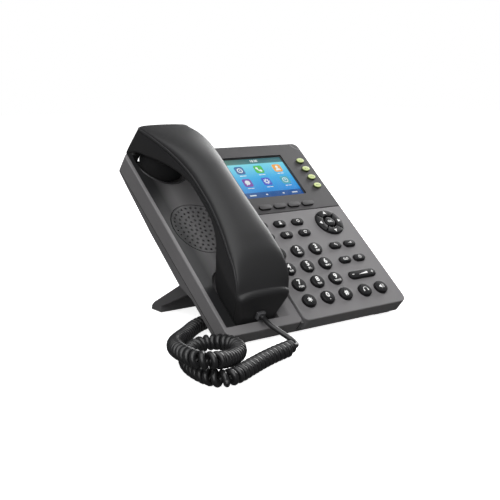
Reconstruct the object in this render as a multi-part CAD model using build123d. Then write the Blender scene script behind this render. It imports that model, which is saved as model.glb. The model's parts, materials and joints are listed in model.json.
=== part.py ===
from build123d import *

import os
from math import cos, hypot, pi, radians, sin, tan

# A desk IP phone with a sloping face, a corded handset and a folding stand, in millimetres and degrees.
# Everything but the cord and the feet is drawn in the slab frame: X to the right, Y up the sloping face
# and Z straight out of it, with the face at Z = 0 and its front edge at Y = 0. place() tilts the slab
# onto the table. The cord, the stand and the feet are drawn in the table frame, where the table is Z = 0.

# Overall
TILT = 39.6                 # slope of the face above the table
FRONT_HEIGHT = 11.9         # height of the face's front edge above the table
FRONT_Y = -82.1             # table Y of the face's front edge, which centres the phone on the origin
BASE_WIDTH = 190.2
BASE_LENGTH = 197.7
CORNER_RADIUS = 6.0
WALL = 2.2                  # thickness of every moulded wall
FIT = 0.3                   # gap round anything that moves
EDGE_RADIUS = 0.8

# Bottom shell: its underside from front to rear, as (distance up the slope, depth)
SHELL_PROFILE = [(0, -12.4), (1.2, -14.6), (6, -16.6), (50, -16.6), (68, -21.7), (125, -21.2), (175, -18.6),
                 (BASE_LENGTH, -17.0)]
SCREWS = [(-88.5, 122.0), (-30.0, 142.0), (87.0, 24.0), (87.0, 188.0)]
SCREW_RECESS = 1.8
POST_END = -12.9

# Face layout
GROOVE_LEFT = -22.2         # the slot between the cradle and the keys
GROOVE_RIGHT = -19.9
BEZEL_EDGE = 113.4          # where the key panel meets the display bezel
PARTING_FRONT = -12.4       # depth of the line between covers and bottom shell, at the front
PARTING_REAR = -16.2        # and at the rear
DEEP = 60.0                 # longer than any depth, for cutting tools

GROOVE_FLOOR = -3.0
MIC_HOLE = (68.5, -9.0)     # across and depth, in the front wall

# Sockets underneath
PORT_BAY_X = (6.0, 62.0)
PORT_BAY_Y = (131.0, 168.0)
PORT_CENTRES = (18.0, 36.0)
PORT_WIDTH = 15.5
POWER_X = 52.0
POWER_WIDTH = 9.5
PORT_LOW = -18.8
PORT_HIGH = -9.1
POCKET_X = (-15.0, 9.0)
POCKET_Y = (44.0, 70.0)
POCKET_TOP = -11.2
HANDSET_PORT_X = -3.0
HANDSET_PORT_LOW = -19.3
HANDSET_PORT_HIGH = -10.9
HANDSET_PORT_MIDDLE = -15.1

# Keys
FLANGE_TOP = -2.4
FLANGE_BOTTOM = -3.4
FLANGE_LIP = 1.1
ROUND_KEY_RADIUS = 6.25
NUMBER_ZERO = (14.5, 17.4)
NUMBER_PITCH = (20.0, 16.93)
NAV_CENTRE = (68.8, 95.0)
NAV_RADIUS = 13.9
NAV_INNER = 6.7
NAV_GAP = 0.35              # half the gap between two arc keys
OK_RADIUS = 5.2
ROCKER_CENTRE = (65.6, 34.4)
ROCKER_SIZE = (30.0, 8.0)
ROCKER_FLANGE_TOP = -3.2
DOME_TOP = -4.7
MAT_TOP = -6.2
BOARD_TOP = -7.2
BOARD_BOTTOM = -8.8

# Display
SCREEN_CENTRE = (33.4, 158.1)
SCREEN_SIZE = (65.0, 48.7)
LENS_MARGIN = 1.0
LENS_SEAT = -1.5
LCD_SIZE = (76.0, 58.0)
LCD_BACK = -6.4

# Cradle
CRADLE_X = -61.0            # the handset's middle line
GRILLE_Y = 109.0
GRILLE_RADIUS = 26.5
GRILLE_RINGS = 5
GRILLE_PITCH = 4.6
GRILLE_HOLE_RADIUS = 0.85
TROUGH_X = -62.2
TROUGH_WIDTH = 63.4
TROUGH_DEPTH = 3.5
EAR_Y = 188.0
EAR_RADIUS = 26.0
EAR_FLOOR = -11.0
MOUTH_FRONT = 8.2
MOUTH_HALF_WIDTH = 20.8
MOUTH_ARC_Y = 45.0
MOUTH_FLOOR = -8.3
HOOK_PLACE = (CRADLE_X, 172.0)
HOOK_SIZE = (10.0, 6.0)
HOOK_TOP = -6.9
HOOK_FLANGE = (-16.2, -15.3)
SPEAKER_RADIUS = 21.5

# Handset
HANDSET_END_WIDTH = 50.0
MOUTH_BOTTOM = -8.0
EARPIECE_BOTTOM = -6.6
EARPIECE_RADIUS = 20.0
EARPIECE_Y = 186.0
HANDSET_TOP = [(0, 8, 50), (17, 23.5, 50), (27, 32.5, 50), (40, 40.3, 48.4), (56, 44.6, 44.4),
               (78, 47.2, 38.6), (104, 48.7, 35.2), (128, 49.2, 35.6), (150, 47.3, 40.2),
               (168, 42.4, 45.6), (186, 35.0, 49.4), (202, 26.3, 50),
               (214, 18.5, 50)]          # distance up the face, crown height, width
UNDERSIDE = [(44, -8), (50, -5.2), (53.6, 1), (56, 9.5), (61.5, 20), (70, 27.5), (80, 31.5), (104, 33.5),
             (134, 32), (168, 21.5), (190, 9.5), (198.5, 3.6), (207.49, -10)]
END_FOOT = (9.6, 0)         # where the mouthpiece's end face starts to lean back
END_LEAN = 15.6             # how far it leans, from straight out of the face
EAR_END_TOP = (199.0, 60.0)
EAR_END_ROUND = 5.0
TIP_INSET = (1.73, 5.0)      # the narrow tip is filled further than one wall
DRAFT_KNEE = 20.0           # below this the mouthpiece's cheeks draw in
DRAFT_SLOPE = 0.25
DRAFT_END = 61.0
JACK_Z = 4.4                # height of the cord's socket in the end face
MOUTH_HOLE = (CRADLE_X, 34.0)
SEAM_FOOT = 12.2            # the seam runs down just behind the end face
SEAM = [(18.6, 17), (24, 25), (33, 31.5), (52, 36.2), (78, 39.4), (110, 40.5), (140, 39.2), (163, 35.6),
        (184, 29.6), (203.5, 21.5), (222, 13)]

# Stand
STAND_PIVOT = (75.0, -25.2)
STAND_HALF_WIDTH = 74.0
STAND_PIN_RADIUS = 2.5      # of the hole
PIN_CLEARANCE = 0.05
STAND_PLATE = 3.0
STAND_EAR_RADIUS = 3.2
STAND_OUTLINE = [(-6.3, 42.8), (59.6, 7.0), (63.3, 3.5), (63.9, 0), (47.6, 0), (47.2, 5.5), (-5, 29),
                 (-11.2, 38.8), (-10.6, 42.2)]             # from the side, in the table frame
STAND_HOLLOW = [(-20, 50), (0, 50), (0, 36), (46.5, 10.7), (46.5, -5), (-20, -5)]
LUG_X = 68.0
LUG_THICKNESS = 4.0
LUG_RADIUS = 4.2
FOOT_X = 78.0
FOOT_Y = 17.5
FOOT_SIZE = (22.0, 9.0)

# Cord
LEAD_DIAMETER = 4.0
CURL_DIAMETER = 12.4
PLUG_SIZE = (7.6, 6.5)
PLUG_IN = 11.0              # how far a plug reaches into its socket
PLUG_OUT = 3.8              # and how far it stands out
LEAD_HANDSET = [(-61, -80.042, 20.643), (-61, -87.35, 17.389), (-59, -94.5, 14.3), (-56, -101.2, 10.8),
                (-53.6, -107.5, 7.6), (-55.2, -113.85, 6.3), (-61, -115.4, 6.3)]
CURL = [(-61, -115.4, 6.3), (-73, -118.6, 6.3), (-88, -123.2, 6.3), (-102, -128.9, 6.3),
        (-115.5, -135.1, 6.3), (-129, -141.8, 6.3), (-141.3, -144.2, 6.3), (-148, -136.8, 6.3),
        (-148.4, -124, 6.3), (-146.8, -111, 6.3), (-142.1, -97.8, 6.3), (-133.2, -85.4, 6.3),
        (-122.6, -74.4, 6.3), (-112, -69.6, 6.6), (-104.6, -73.6, 8), (-101.9, -82, 9.6), (-99.6, -92, 10.4),
        (-101, -102, 10.6), (-108.6, -114, 11), (-121.6, -125.6, 12.7), (-134.4, -134.6, 16),
        (-146.6, -142.4, 19.4), (-156.4, -139.8, 20.6), (-158.9, -127.4, 20.6), (-157, -113.4, 20.2),
        (-151.6, -99.4, 18), (-143.2, -84.4, 15.2), (-132.4, -68.6, 11.6), (-119.6, -55.6, 9.6),
        (-106, -42.6, 7.4), (-88.6, -26.6, 6.3), (-72, -18.8, 6.3)]
LEAD_BASE = [(-72, -18.8, 6.3), (-56.6, -11.55, 6.3), (-43, -15.5, 5.6), (-31, -20, 7), (-20, -24, 11),
             (-11.5, -27, 16.8), (-6, -28.5, 24), (-3.3, -28.3, 31.5), (-3, -26.5, 38.36), (-3, -21.5, 42.5)]


def place(shape):
    """Puts a shape drawn in the slab frame where it stands on the table."""
    return Pos(0, FRONT_Y, FRONT_HEIGHT) * Rot(TILT, 0, 0) * shape


def block(low, high, radius=0.0):
    """A box from its lowest to its highest corner, its upright edges rounded."""
    size = [b - a for a, b in zip(low, high)]
    outline = RectangleRounded(size[0], size[1], radius) if radius else Rectangle(size[0], size[1])
    return extrude(Pos((low[0] + high[0]) / 2, (low[1] + high[1]) / 2, low[2]) * outline, amount=size[2])


def disc(centre, radius, low, high):
    """A round plug standing straight out of the face."""
    return extrude(Pos(centre[0], centre[1], low) * Circle(radius), amount=high - low)


def stadium(centre, size, low, high):
    """A plug with half-round ends."""
    return extrude(Pos(centre[0], centre[1], low) * RectangleRounded(size[0], size[1], min(size) / 2 - 0.01),
                   amount=high - low)


def side_extrusion(outline, x_low, x_high):
    """An outline of (distance up the face, depth) points, drawn across the phone."""
    face = make_face(Plane.YZ * Polyline(*outline, close=True))
    return Pos(x_low, 0, 0) * extrude(face, amount=x_high - x_low, dir=(1, 0, 0))


def handset_loft(inset):
    """The handset's arched, waisted bar as a loft of flat-bottomed sections."""
    sections = []
    for distance, crown, width in HANDSET_TOP:
        half = width / 2 - inset
        top = crown - 2.0 - inset
        round_radius = 9.0 - inset
        low = MOUTH_BOTTOM - 12 + inset
        corner = round_radius * (1 - cos(pi / 4))
        outline = [
            Line((-half, low), (half, low)),
            Line((half, low), (half, top - round_radius)),
            ThreePointArc((half, top - round_radius), (half - corner, top - corner),
                          (half - round_radius, top)),
            ThreePointArc((half - round_radius, top), (0, top + 2.0), (-half + round_radius, top)),
            ThreePointArc((-half + round_radius, top), (-half + corner, top - corner),
                          (-half, top - round_radius)),
            Line((-half, top - round_radius), (-half, low)),
        ]
        plane = Plane(origin=(CRADLE_X, distance, 0), x_dir=(1, 0, 0), z_dir=(0, -1, 0))
        sections.append(plane * make_face(outline))
    return loft(sections)


def moved_in(points, inset):
    """A line's points moved to its left by an inset."""
    moved = []
    for before, point, after in zip(points[:1] + points, points, points[1:] + points[-1:]):
        step = (after[0] - before[0], after[1] - before[1])
        length = hypot(*step)
        moved.append((point[0] - inset * step[1] / length, point[1] + inset * step[0] / length))
    return moved


def handset_side(inset):
    """The handset seen from the side: both end faces and the underside of the grip."""
    lean = tan(radians(END_LEAN))
    top = EAR_END_TOP[1]
    foot = END_FOOT[0] + inset
    end_top = (foot + top * lean + 0.1 * inset, top)
    underside = [(UNDERSIDE[0][0], MOUTH_BOTTOM + inset)] + moved_in(UNDERSIDE, inset)[1:-1]
    underside.append((UNDERSIDE[-1][0] - TIP_INSET[0] * inset, UNDERSIDE[-1][1] + TIP_INSET[1] * inset))
    ear_top = (EAR_END_TOP[0] - inset, top)
    outline = [
        Line((foot, MOUTH_BOTTOM + inset), (foot, END_FOOT[1])),
        Line((foot, END_FOOT[1]), end_top),
        Line(end_top, ear_top),
        Line(ear_top, underside[-1]),
        Spline(*underside),
        Line(underside[0], (foot, MOUTH_BOTTOM + inset)),
    ]
    face = make_face([Plane.YZ * edge for edge in outline])
    return extrude(face, amount=2 * DEEP, both=True)


def handset_plan(inset):
    """The handset seen from above, with its rounded ear end."""
    width = HANDSET_END_WIDTH - 2 * inset
    ear_end = UNDERSIDE[-1][0] + 1.0 - inset
    outline = Pos(CRADLE_X, (ear_end - 20) / 2) * RectangleRounded(width, ear_end + 20, EAR_END_ROUND - inset)
    return extrude(Pos(0, 0, -DEEP) * outline, amount=3 * DEEP)


def handset_draft(inset):
    """The mouthpiece seen along the grip, with cheeks that draw in below the knee; the rest isn't limited."""
    half = HANDSET_END_WIDTH / 2 - inset
    foot = half - DRAFT_SLOPE * (DRAFT_KNEE + DEEP)
    outline = [(-half, 2 * DEEP), (-half, DRAFT_KNEE), (-foot, -DEEP), (foot, -DEEP), (half, DRAFT_KNEE),
               (half, 2 * DEEP)]
    plane = Plane(origin=(CRADLE_X, DRAFT_END, 0), x_dir=(1, 0, 0), z_dir=(0, -1, 0))
    mouthpiece = extrude(plane * make_face(Polyline(*outline, close=True)), amount=DRAFT_END + 20)
    rest = block((CRADLE_X - half, DRAFT_END, -DEEP), (CRADLE_X + half, BASE_LENGTH + 30, 2 * DEEP))
    return mouthpiece + rest


def handset_solid(inset):
    """The handset's outside, or the space inside it when inset by a wall."""
    return handset_loft(inset) & handset_side(inset) & handset_plan(inset) & handset_draft(inset)


def cut_to(shape, outline):
    """Keeps what lies inside an outline drawn from the side, across the whole phone."""
    return shape & side_extrusion(outline, -BASE_WIDTH, BASE_WIDTH)


def panel(x_low, x_high, y_low, y_high, corners, low):
    """A flat-topped block with its own corner radii, given as ((x, y), radius)."""
    outline = Pos((x_low + x_high) / 2, (y_low + y_high) / 2) * Rectangle(x_high - x_low, y_high - y_low)
    for corner, radius in corners:
        outline = fillet(outline.vertices().sort_by_distance((*corner, 0))[0], radius)
    solid = extrude(Pos(0, 0, low) * outline, amount=-low)
    return fillet(solid.faces().sort_by(Axis.Z)[-1].edges(), EDGE_RADIUS)


def cover(x_low, x_high, y_low, y_high, corners, hollow_low, hollow_high):
    """One of the three top covers: a panel with walls down to the parting line."""
    above = [(-1, PARTING_FRONT), (BASE_LENGTH + 1, PARTING_REAR), (BASE_LENGTH + 1, 5), (-1, 5)]
    solid = cut_to(panel(x_low, x_high, y_low, y_high, corners, -DEEP), above)
    return solid - block((*hollow_low, -DEEP), (*hollow_high, -WALL))


def shell_floor(distance):
    """Depth of the bottom shell's outer face at a distance up the slope."""
    for (y_1, z_1), (y_2, z_2) in zip(SHELL_PROFILE, SHELL_PROFILE[1:]):
        if y_1 <= distance <= y_2:
            return z_1 + (z_2 - z_1) * (distance - y_1) / (y_2 - y_1)
    raise ValueError("outside the bottom shell")


def screw_posts(places):
    """Posts under a cover that the case screws bite into."""
    posts = []
    for centre in places:
        posts.append(disc(centre, 3.0, POST_END, -WALL + 0.5) - disc(centre, 1.25, -DEEP, -4.5))
    return Compound(posts)


# Keys


def number_keys():
    """Centres of the twelve number keys, bottom row first."""
    names = ["star", "0", "hash", "7", "8", "9", "4", "5", "6", "1", "2", "3"]
    centres = [(NUMBER_ZERO[0] + (column - 1) * NUMBER_PITCH[0], NUMBER_ZERO[1] + row * NUMBER_PITCH[1])
               for row in range(4) for column in range(3)]
    return {f"key_{name}": centre for name, centre in zip(names, centres)}


def function_keys():
    """Centres of the small oblong keys to the left and right of the number pad."""
    left = [(-5.5 + 20.0 * column, 100.0 - 13.0 * row) for row in range(2) for column in range(3)]
    right = [(57.8 + 16.7 * column, 68.5 - 16.7 * row) for row in range(2) for column in range(2)]
    keys = {f"key_upper_{index + 1}": centre for index, centre in enumerate(left)}
    keys.update({f"key_right_{index + 1}": centre for index, centre in enumerate(right)})
    return keys


def arc_key_outline(angle, inner, outer, gap):
    """A quarter ring with straight-sided gaps to its neighbours."""
    ring = Circle(outer) - Circle(inner)
    wedge = make_face(Polyline((0, 0), (2 * outer, -2 * outer), (2 * outer, 2 * outer), close=True))
    wedge = Pos(gap / sin(pi / 4), 0) * wedge
    return Pos(*NAV_CENTRE) * Rot(0, 0, angle) * (ring & wedge)


ROUND_KEYS = {"key_headset": (56.5, 17.4), "key_speaker": (75.2, 17.4)}
SOFT_KEYS = {f"key_soft_{index + 1}": (11.1 + 16.2 * index, 120.3) for index in range(4)}
LINE_KEYS = {f"key_line_{index + 1}": (84.0, 172.8 - 10.93 * index) for index in range(4)}
NAV_KEYS = {"key_nav_right": 0, "key_nav_up": 90, "key_nav_left": 180, "key_nav_down": 270}
OBLONG = (12.5, 7.0)
SOFT_SIZE = (13.0, 5.2)
LINE_SIZE = (8.6, 6.0)


def oval(centre, size, grow, low, high):
    """An elliptical plug."""
    outline = Ellipse(size[0] / 2 + grow, size[1] / 2 + grow)
    return extrude(Pos(centre[0], centre[1], low) * outline, amount=high - low)


def build_keys():
    """Every key, each with its flange under the cover."""
    keys = {}
    for name, centre in {**number_keys(), **ROUND_KEYS}.items():
        cap = disc(centre, ROUND_KEY_RADIUS, FLANGE_BOTTOM, 2.6)
        cap = chamfer(cap.faces().sort_by(Axis.Z)[-1].edges(), 0.8)
        keys[name] = cap + disc(centre, ROUND_KEY_RADIUS + FLANGE_LIP, FLANGE_BOTTOM, FLANGE_TOP)
    for name, centre in function_keys().items():
        cap = chamfer(stadium(centre, OBLONG, FLANGE_BOTTOM, 2.2).faces().sort_by(Axis.Z)[-1].edges(), 0.7)
        size = [side + 2 * FLANGE_LIP for side in OBLONG]
        keys[name] = cap + stadium(centre, size, FLANGE_BOTTOM, FLANGE_TOP)
    for name, centre in SOFT_KEYS.items():
        cap = chamfer(stadium(centre, SOFT_SIZE, FLANGE_BOTTOM, 1.6).faces().sort_by(Axis.Z)[-1].edges(), 0.5)
        size = [side + 2 * FLANGE_LIP for side in SOFT_SIZE]
        keys[name] = cap + stadium(centre, size, FLANGE_BOTTOM, FLANGE_TOP)
    for name, centre in LINE_KEYS.items():
        cap = chamfer(oval(centre, LINE_SIZE, 0, FLANGE_BOTTOM, 2.2).faces().sort_by(Axis.Z)[-1].edges(), 0.6)
        keys[name] = cap + oval(centre, LINE_SIZE, FLANGE_LIP, FLANGE_BOTTOM, FLANGE_TOP)
    for name, angle in NAV_KEYS.items():
        outline = Pos(0, 0, FLANGE_BOTTOM) * arc_key_outline(angle, NAV_INNER, NAV_RADIUS, NAV_GAP)
        cap = extrude(outline, amount=2.0 - FLANGE_BOTTOM)
        cap = chamfer(cap.faces().sort_by(Axis.Z)[-1].edges(), 0.5)
        outline = arc_key_outline(angle, NAV_INNER, NAV_RADIUS + FLANGE_LIP, NAV_GAP)
        outline = Pos(0, 0, FLANGE_BOTTOM) * outline
        flange = extrude(outline, amount=FLANGE_TOP - FLANGE_BOTTOM)
        keys[name] = cap + flange
    cap = chamfer(disc(NAV_CENTRE, OK_RADIUS, FLANGE_BOTTOM, 2.2).faces().sort_by(Axis.Z)[-1].edges(), 0.6)
    keys["key_ok"] = cap + disc(NAV_CENTRE, OK_RADIUS + 0.9, FLANGE_BOTTOM, FLANGE_TOP)
    rocker_low = ROCKER_FLANGE_TOP - 0.8
    cap = stadium(ROCKER_CENTRE, ROCKER_SIZE, rocker_low, 2.0)
    cap = chamfer(cap.faces().sort_by(Axis.Z)[-1].edges(), 0.6)
    size = [side + 2 * FLANGE_LIP for side in ROCKER_SIZE]
    keys["volume_rocker"] = cap + stadium(ROCKER_CENTRE, size, rocker_low, ROCKER_FLANGE_TOP)
    return keys


# Base


def build_keypad_cover():
    """The lower right cover, with its front and right walls and the key holes."""
    corners = [((GROOVE_RIGHT, 0), 5.5), ((BASE_WIDTH / 2, 0), CORNER_RADIUS)]
    solid = cover(GROOVE_RIGHT, BASE_WIDTH / 2, 0, BEZEL_EDGE, corners,
                  (GROOVE_RIGHT + WALL, WALL), (BASE_WIDTH / 2 - WALL, BEZEL_EDGE + 1))
    round_keys = {**number_keys(), **ROUND_KEYS}
    holes = [disc(centre, ROUND_KEY_RADIUS + FIT, -4, 1) for centre in round_keys.values()]
    size = [side + 2 * FIT for side in OBLONG]
    holes += [stadium(centre, size, -4, 1) for centre in function_keys().values()]
    holes.append(disc(NAV_CENTRE, NAV_RADIUS + FIT, -4, 1))
    holes.append(stadium(ROCKER_CENTRE, [side + 2 * FIT for side in ROCKER_SIZE], -4, 1))
    holes.append(Pos(MIC_HOLE[0], 1, MIC_HOLE[1]) * Cylinder(0.9, 8, rotation=(90, 0, 0)))
    return solid - holes + screw_posts([SCREWS[2]])


def build_display_bezel():
    """The upper right cover, with the screen window, the soft keys and the line keys."""
    corners = [((BASE_WIDTH / 2, BASE_LENGTH), CORNER_RADIUS), ((GROOVE_RIGHT, BASE_LENGTH), 2.0)]
    edge = BEZEL_EDGE + 0.2
    solid = cover(GROOVE_RIGHT, BASE_WIDTH / 2, edge, BASE_LENGTH, corners,
                  (GROOVE_RIGHT + WALL, edge - 1), (BASE_WIDTH / 2 - WALL, BASE_LENGTH - WALL))
    x, y = SCREEN_CENTRE
    half = [side / 2 + LENS_MARGIN + 0.2 for side in SCREEN_SIZE]
    window = block((x - half[0], y - half[1], LENS_SEAT), (x + half[0], y + half[1], 1), 1.5)
    half = [side / 2 + 0.3 for side in SCREEN_SIZE]
    window += block((x - half[0], y - half[1], -4), (x + half[0], y + half[1], 1))
    holes = [window]
    size = [side + 2 * FIT for side in SOFT_SIZE]
    holes += [stadium(centre, size, -4, 1) for centre in SOFT_KEYS.values()]
    holes += [oval(centre, LINE_SIZE, FIT, -4, 1) for centre in LINE_KEYS.values()]
    return solid - holes + screw_posts([SCREWS[3]])


def recesses(grow):
    """The two wells that the handset sits in, grown by a wall for their outside."""
    ear = disc((CRADLE_X, EAR_Y), EAR_RADIUS + grow, EAR_FLOOR - grow, 1)
    half = MOUTH_HALF_WIDTH + grow
    mouth = block((CRADLE_X - half, MOUTH_FRONT - grow, MOUTH_FLOOR - grow),
                  (CRADLE_X + half, MOUTH_ARC_Y, 1))
    mouth += disc((CRADLE_X, MOUTH_ARC_Y), half, MOUTH_FLOOR - grow, 1)
    return ear + mouth


def trough(grow):
    """The long shallow hollow between the wells, with room for fingers under the grip."""
    radius = (TROUGH_WIDTH ** 2 / 4 + TROUGH_DEPTH ** 2) / (2 * TROUGH_DEPTH)
    section = Pos(TROUGH_X, radius - TROUGH_DEPTH) * Circle(radius + grow)
    round_bar = extrude(Plane(origin=(0, BASE_LENGTH, 0), x_dir=(1, 0, 0), z_dir=(0, -1, 0)) * section,
                        amount=BASE_LENGTH - MOUTH_FRONT)
    half = TROUGH_WIDTH / 2 + grow
    return round_bar & block((TROUGH_X - half, 0, -TROUGH_DEPTH - grow), (TROUGH_X + half, BASE_LENGTH, 1))


def grille_holes():
    """Rings of sound holes over the loudspeaker, with one in the middle."""
    places = [(CRADLE_X, GRILLE_Y)]
    for ring in range(1, GRILLE_RINGS + 1):
        for index in range(6 * ring):
            angle = 2 * pi * index / (6 * ring) + 0.3 * ring
            reach = ring * GRILLE_PITCH
            places.append((CRADLE_X + reach * cos(angle), GRILLE_Y + reach * sin(angle)))
    return [disc(centre, GRILLE_HOLE_RADIUS, -8, 1) for centre in places]


def build_cradle_cover():
    """The left cover: two wells, the trough between them and the loudspeaker grille."""
    left = -BASE_WIDTH / 2
    corners = [((left, 0), CORNER_RADIUS), ((left, BASE_LENGTH), CORNER_RADIUS), ((GROOVE_LEFT, 0), 4.0),
               ((GROOVE_LEFT, BASE_LENGTH), 2.0)]
    solid = cover(left, GROOVE_LEFT, 0, BASE_LENGTH, corners,
                  (left + WALL, WALL), (GROOVE_LEFT - WALL, BASE_LENGTH - WALL))
    body = panel(left, GROOVE_LEFT, 0, BASE_LENGTH, corners, -DEEP)
    solid += (recesses(WALL) + trough(WALL)) & body
    solid -= [recesses(0), trough(0)]
    ring = disc((CRADLE_X, GRILLE_Y), GRILLE_RADIUS + 0.4, -TROUGH_DEPTH - 0.5, 1)
    ring -= disc((CRADLE_X, GRILLE_Y), GRILLE_RADIUS - 0.4, -DEEP, 2)
    solid -= ring
    solid -= grille_holes()
    solid -= stadium(HOOK_PLACE, [side + 2 * FIT for side in HOOK_SIZE], EAR_FLOOR - 4, EAR_FLOOR + 1)
    return solid + screw_posts(SCREWS[:2])


def rear_sockets():
    """Middle and width of the two network sockets and the power socket."""
    return [(middle, PORT_WIDTH) for middle in PORT_CENTRES] + [(POWER_X, POWER_WIDTH)]


def build_bottom_shell():
    """The shallow tray that closes the base, with the stand's lugs and the handset cord's pocket."""
    half = BASE_WIDTH / 2
    above = [(BASE_LENGTH, 5), (0, 5)]
    body = extrude(Pos(0, BASE_LENGTH / 2, -DEEP) * RectangleRounded(BASE_WIDTH, BASE_LENGTH, CORNER_RADIUS),
                   amount=2 * DEEP)
    outer = side_extrusion(SHELL_PROFILE + above, -half, half) & body
    inner = [(min(max(y, WALL), BASE_LENGTH - WALL), z + WALL) for y, z in SHELL_PROFILE]
    inner_top = [(BASE_LENGTH - WALL, 8), (WALL, 8)]
    hollow = side_extrusion(inner + inner_top, -half + WALL, half - WALL)
    below = [(-1, PARTING_FRONT), (BASE_LENGTH + 1, PARTING_REAR), (BASE_LENGTH + 1, -DEEP), (-1, -DEEP)]
    shell = cut_to(outer - hollow, below)
    rib = block((GROOVE_LEFT + 0.1, 0.6, -DEEP), (GROOVE_RIGHT - 0.1, BASE_LENGTH - 0.6, GROOVE_FLOOR))
    shell += rib & outer
    for (x_low, x_high), (y_low, y_high) in ((POCKET_X, POCKET_Y), (PORT_BAY_X, PORT_BAY_Y)):
        lining = block((x_low - WALL, y_low - WALL, -DEEP), (x_high + WALL, y_high + WALL, POCKET_TOP + WALL))
        shell += lining & outer
        shell -= block((x_low, y_low, -DEEP), (x_high, y_high, POCKET_TOP))
    wall = POCKET_Y[1]
    shell -= block((HANDSET_PORT_X - 5.6, wall - 1, HANDSET_PORT_LOW - 0.1),
                   (HANDSET_PORT_X + 5.6, wall + WALL + 1, HANDSET_PORT_HIGH + 0.1))
    for middle, width in rear_sockets():
        shell -= block((middle - width / 2 - 0.1, PORT_BAY_Y[0] - WALL - 1, PORT_LOW - 0.1),
                       (middle + width / 2 + 0.1, PORT_BAY_Y[0] + 1, PORT_HIGH + 0.1))
    for centre in SCREWS:
        floor = shell_floor(centre[1])
        shell += disc(centre, 4.2, floor + 0.5, POST_END - 0.1) & outer
        shell -= [disc(centre, 1.5, -DEEP, 1), disc(centre, 2.9, -DEEP, floor + SCREW_RECESS)]
    for side in (-1, 1):
        lug = Pos(side * LUG_X, *STAND_PIVOT) * Cylinder(LUG_RADIUS, LUG_THICKNESS, rotation=(0, 90, 0))
        web = block((side * LUG_X - LUG_THICKNESS / 2, STAND_PIVOT[0] - LUG_RADIUS, STAND_PIVOT[1]),
                    (side * LUG_X + LUG_THICKNESS / 2, STAND_PIVOT[0] + LUG_RADIUS, -20.0))
        shell += lug + web
        bore = Cylinder(STAND_PIN_RADIUS, 3 * LUG_THICKNESS, rotation=(0, 90, 0))
        shell -= Pos(side * LUG_X, *STAND_PIVOT) * bore
    return shell


def build_case_screws():
    """Four self-tapping screws, heads sunk in the bottom shell."""
    screws = []
    for centre in SCREWS:
        seat = shell_floor(centre[1]) + SCREW_RECESS
        head = disc(centre, 2.6, seat - 1.4, seat)
        slot = block((centre[0] - 1.6, centre[1] - 0.3, seat - 2),
                     (centre[0] + 1.6, centre[1] + 0.3, seat - 0.8))
        cross = block((centre[0] - 0.3, centre[1] - 1.6, seat - 2),
                      (centre[0] + 0.3, centre[1] + 1.6, seat - 0.8))
        screws.append(head + disc(centre, 1.15, seat, -6) - slot - cross)
    return Compound(screws)


def build_stand():
    """The folding stand: a wide plate with deep sides, a foot bar and two snap-in pins."""
    solid = side_extrusion(STAND_OUTLINE, -STAND_HALF_WIDTH, STAND_HALF_WIDTH)
    solid -= side_extrusion(STAND_HOLLOW, -STAND_HALF_WIDTH + STAND_PLATE, -1.5)
    solid -= side_extrusion(STAND_HOLLOW, 1.5, STAND_HALF_WIDTH - STAND_PLATE)
    pivot = (FRONT_Y + STAND_PIVOT[0] * cos(radians(TILT)) - STAND_PIVOT[1] * sin(radians(TILT)),
             FRONT_HEIGHT + STAND_PIVOT[0] * sin(radians(TILT)) + STAND_PIVOT[1] * cos(radians(TILT)))
    clear = LUG_X - LUG_THICKNESS / 2 - FIT
    for side in (-1, 1):
        middle = side * (STAND_HALF_WIDTH - STAND_PLATE / 2)
        ear = Pos(middle, *pivot) * Cylinder(STAND_EAR_RADIUS, STAND_PLATE, rotation=(0, 90, 0))
        pin_length = STAND_HALF_WIDTH - STAND_PLATE - clear
        pin = Cylinder(STAND_PIN_RADIUS - PIN_CLEARANCE, pin_length, rotation=(0, 90, 0))
        pin = Pos(side * (clear + pin_length / 2), *pivot) * pin
        solid += [ear, pin]
    return solid


def build_rubber_feet():
    """Two soft wedges under the front edge."""
    half = BASE_WIDTH / 2
    outer = place(side_extrusion(SHELL_PROFILE + [(BASE_LENGTH, 5), (0, 5)], -half, half))
    feet = []
    for x in (-FOOT_X, FOOT_X):
        outline = Pos(x, FRONT_Y + FOOT_Y) * RectangleRounded(*FOOT_SIZE, 3.0)
        feet.append(extrude(outline, amount=9.0) - outer)
    return Compound([foot.solids().sort_by(SortBy.VOLUME)[-1] for foot in feet])


def build_keypad_mat(keys):
    """The rubber mat, with a dome under every key."""
    mat = block((-16, 6, BOARD_TOP), (90, 127, MAT_TOP), 2.0)
    mat += block((78, 120, BOARD_TOP), (90, 181.5, MAT_TOP), 2.0)
    mat -= disc(SCREWS[2], 4.0, -DEEP, 0)
    domes = []
    for name, key in keys.items():
        centre = key.bounding_box().center()
        if name == "volume_rocker":
            ends = [(centre.X + side * 10, centre.Y) for side in (-1, 1)]
            domes += [disc(end, 1.8, MAT_TOP - 0.5, DOME_TOP - 0.5) for end in ends]
        else:
            domes.append(disc((centre.X, centre.Y), 1.8, MAT_TOP - 0.5, DOME_TOP))
    return mat + domes


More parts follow.
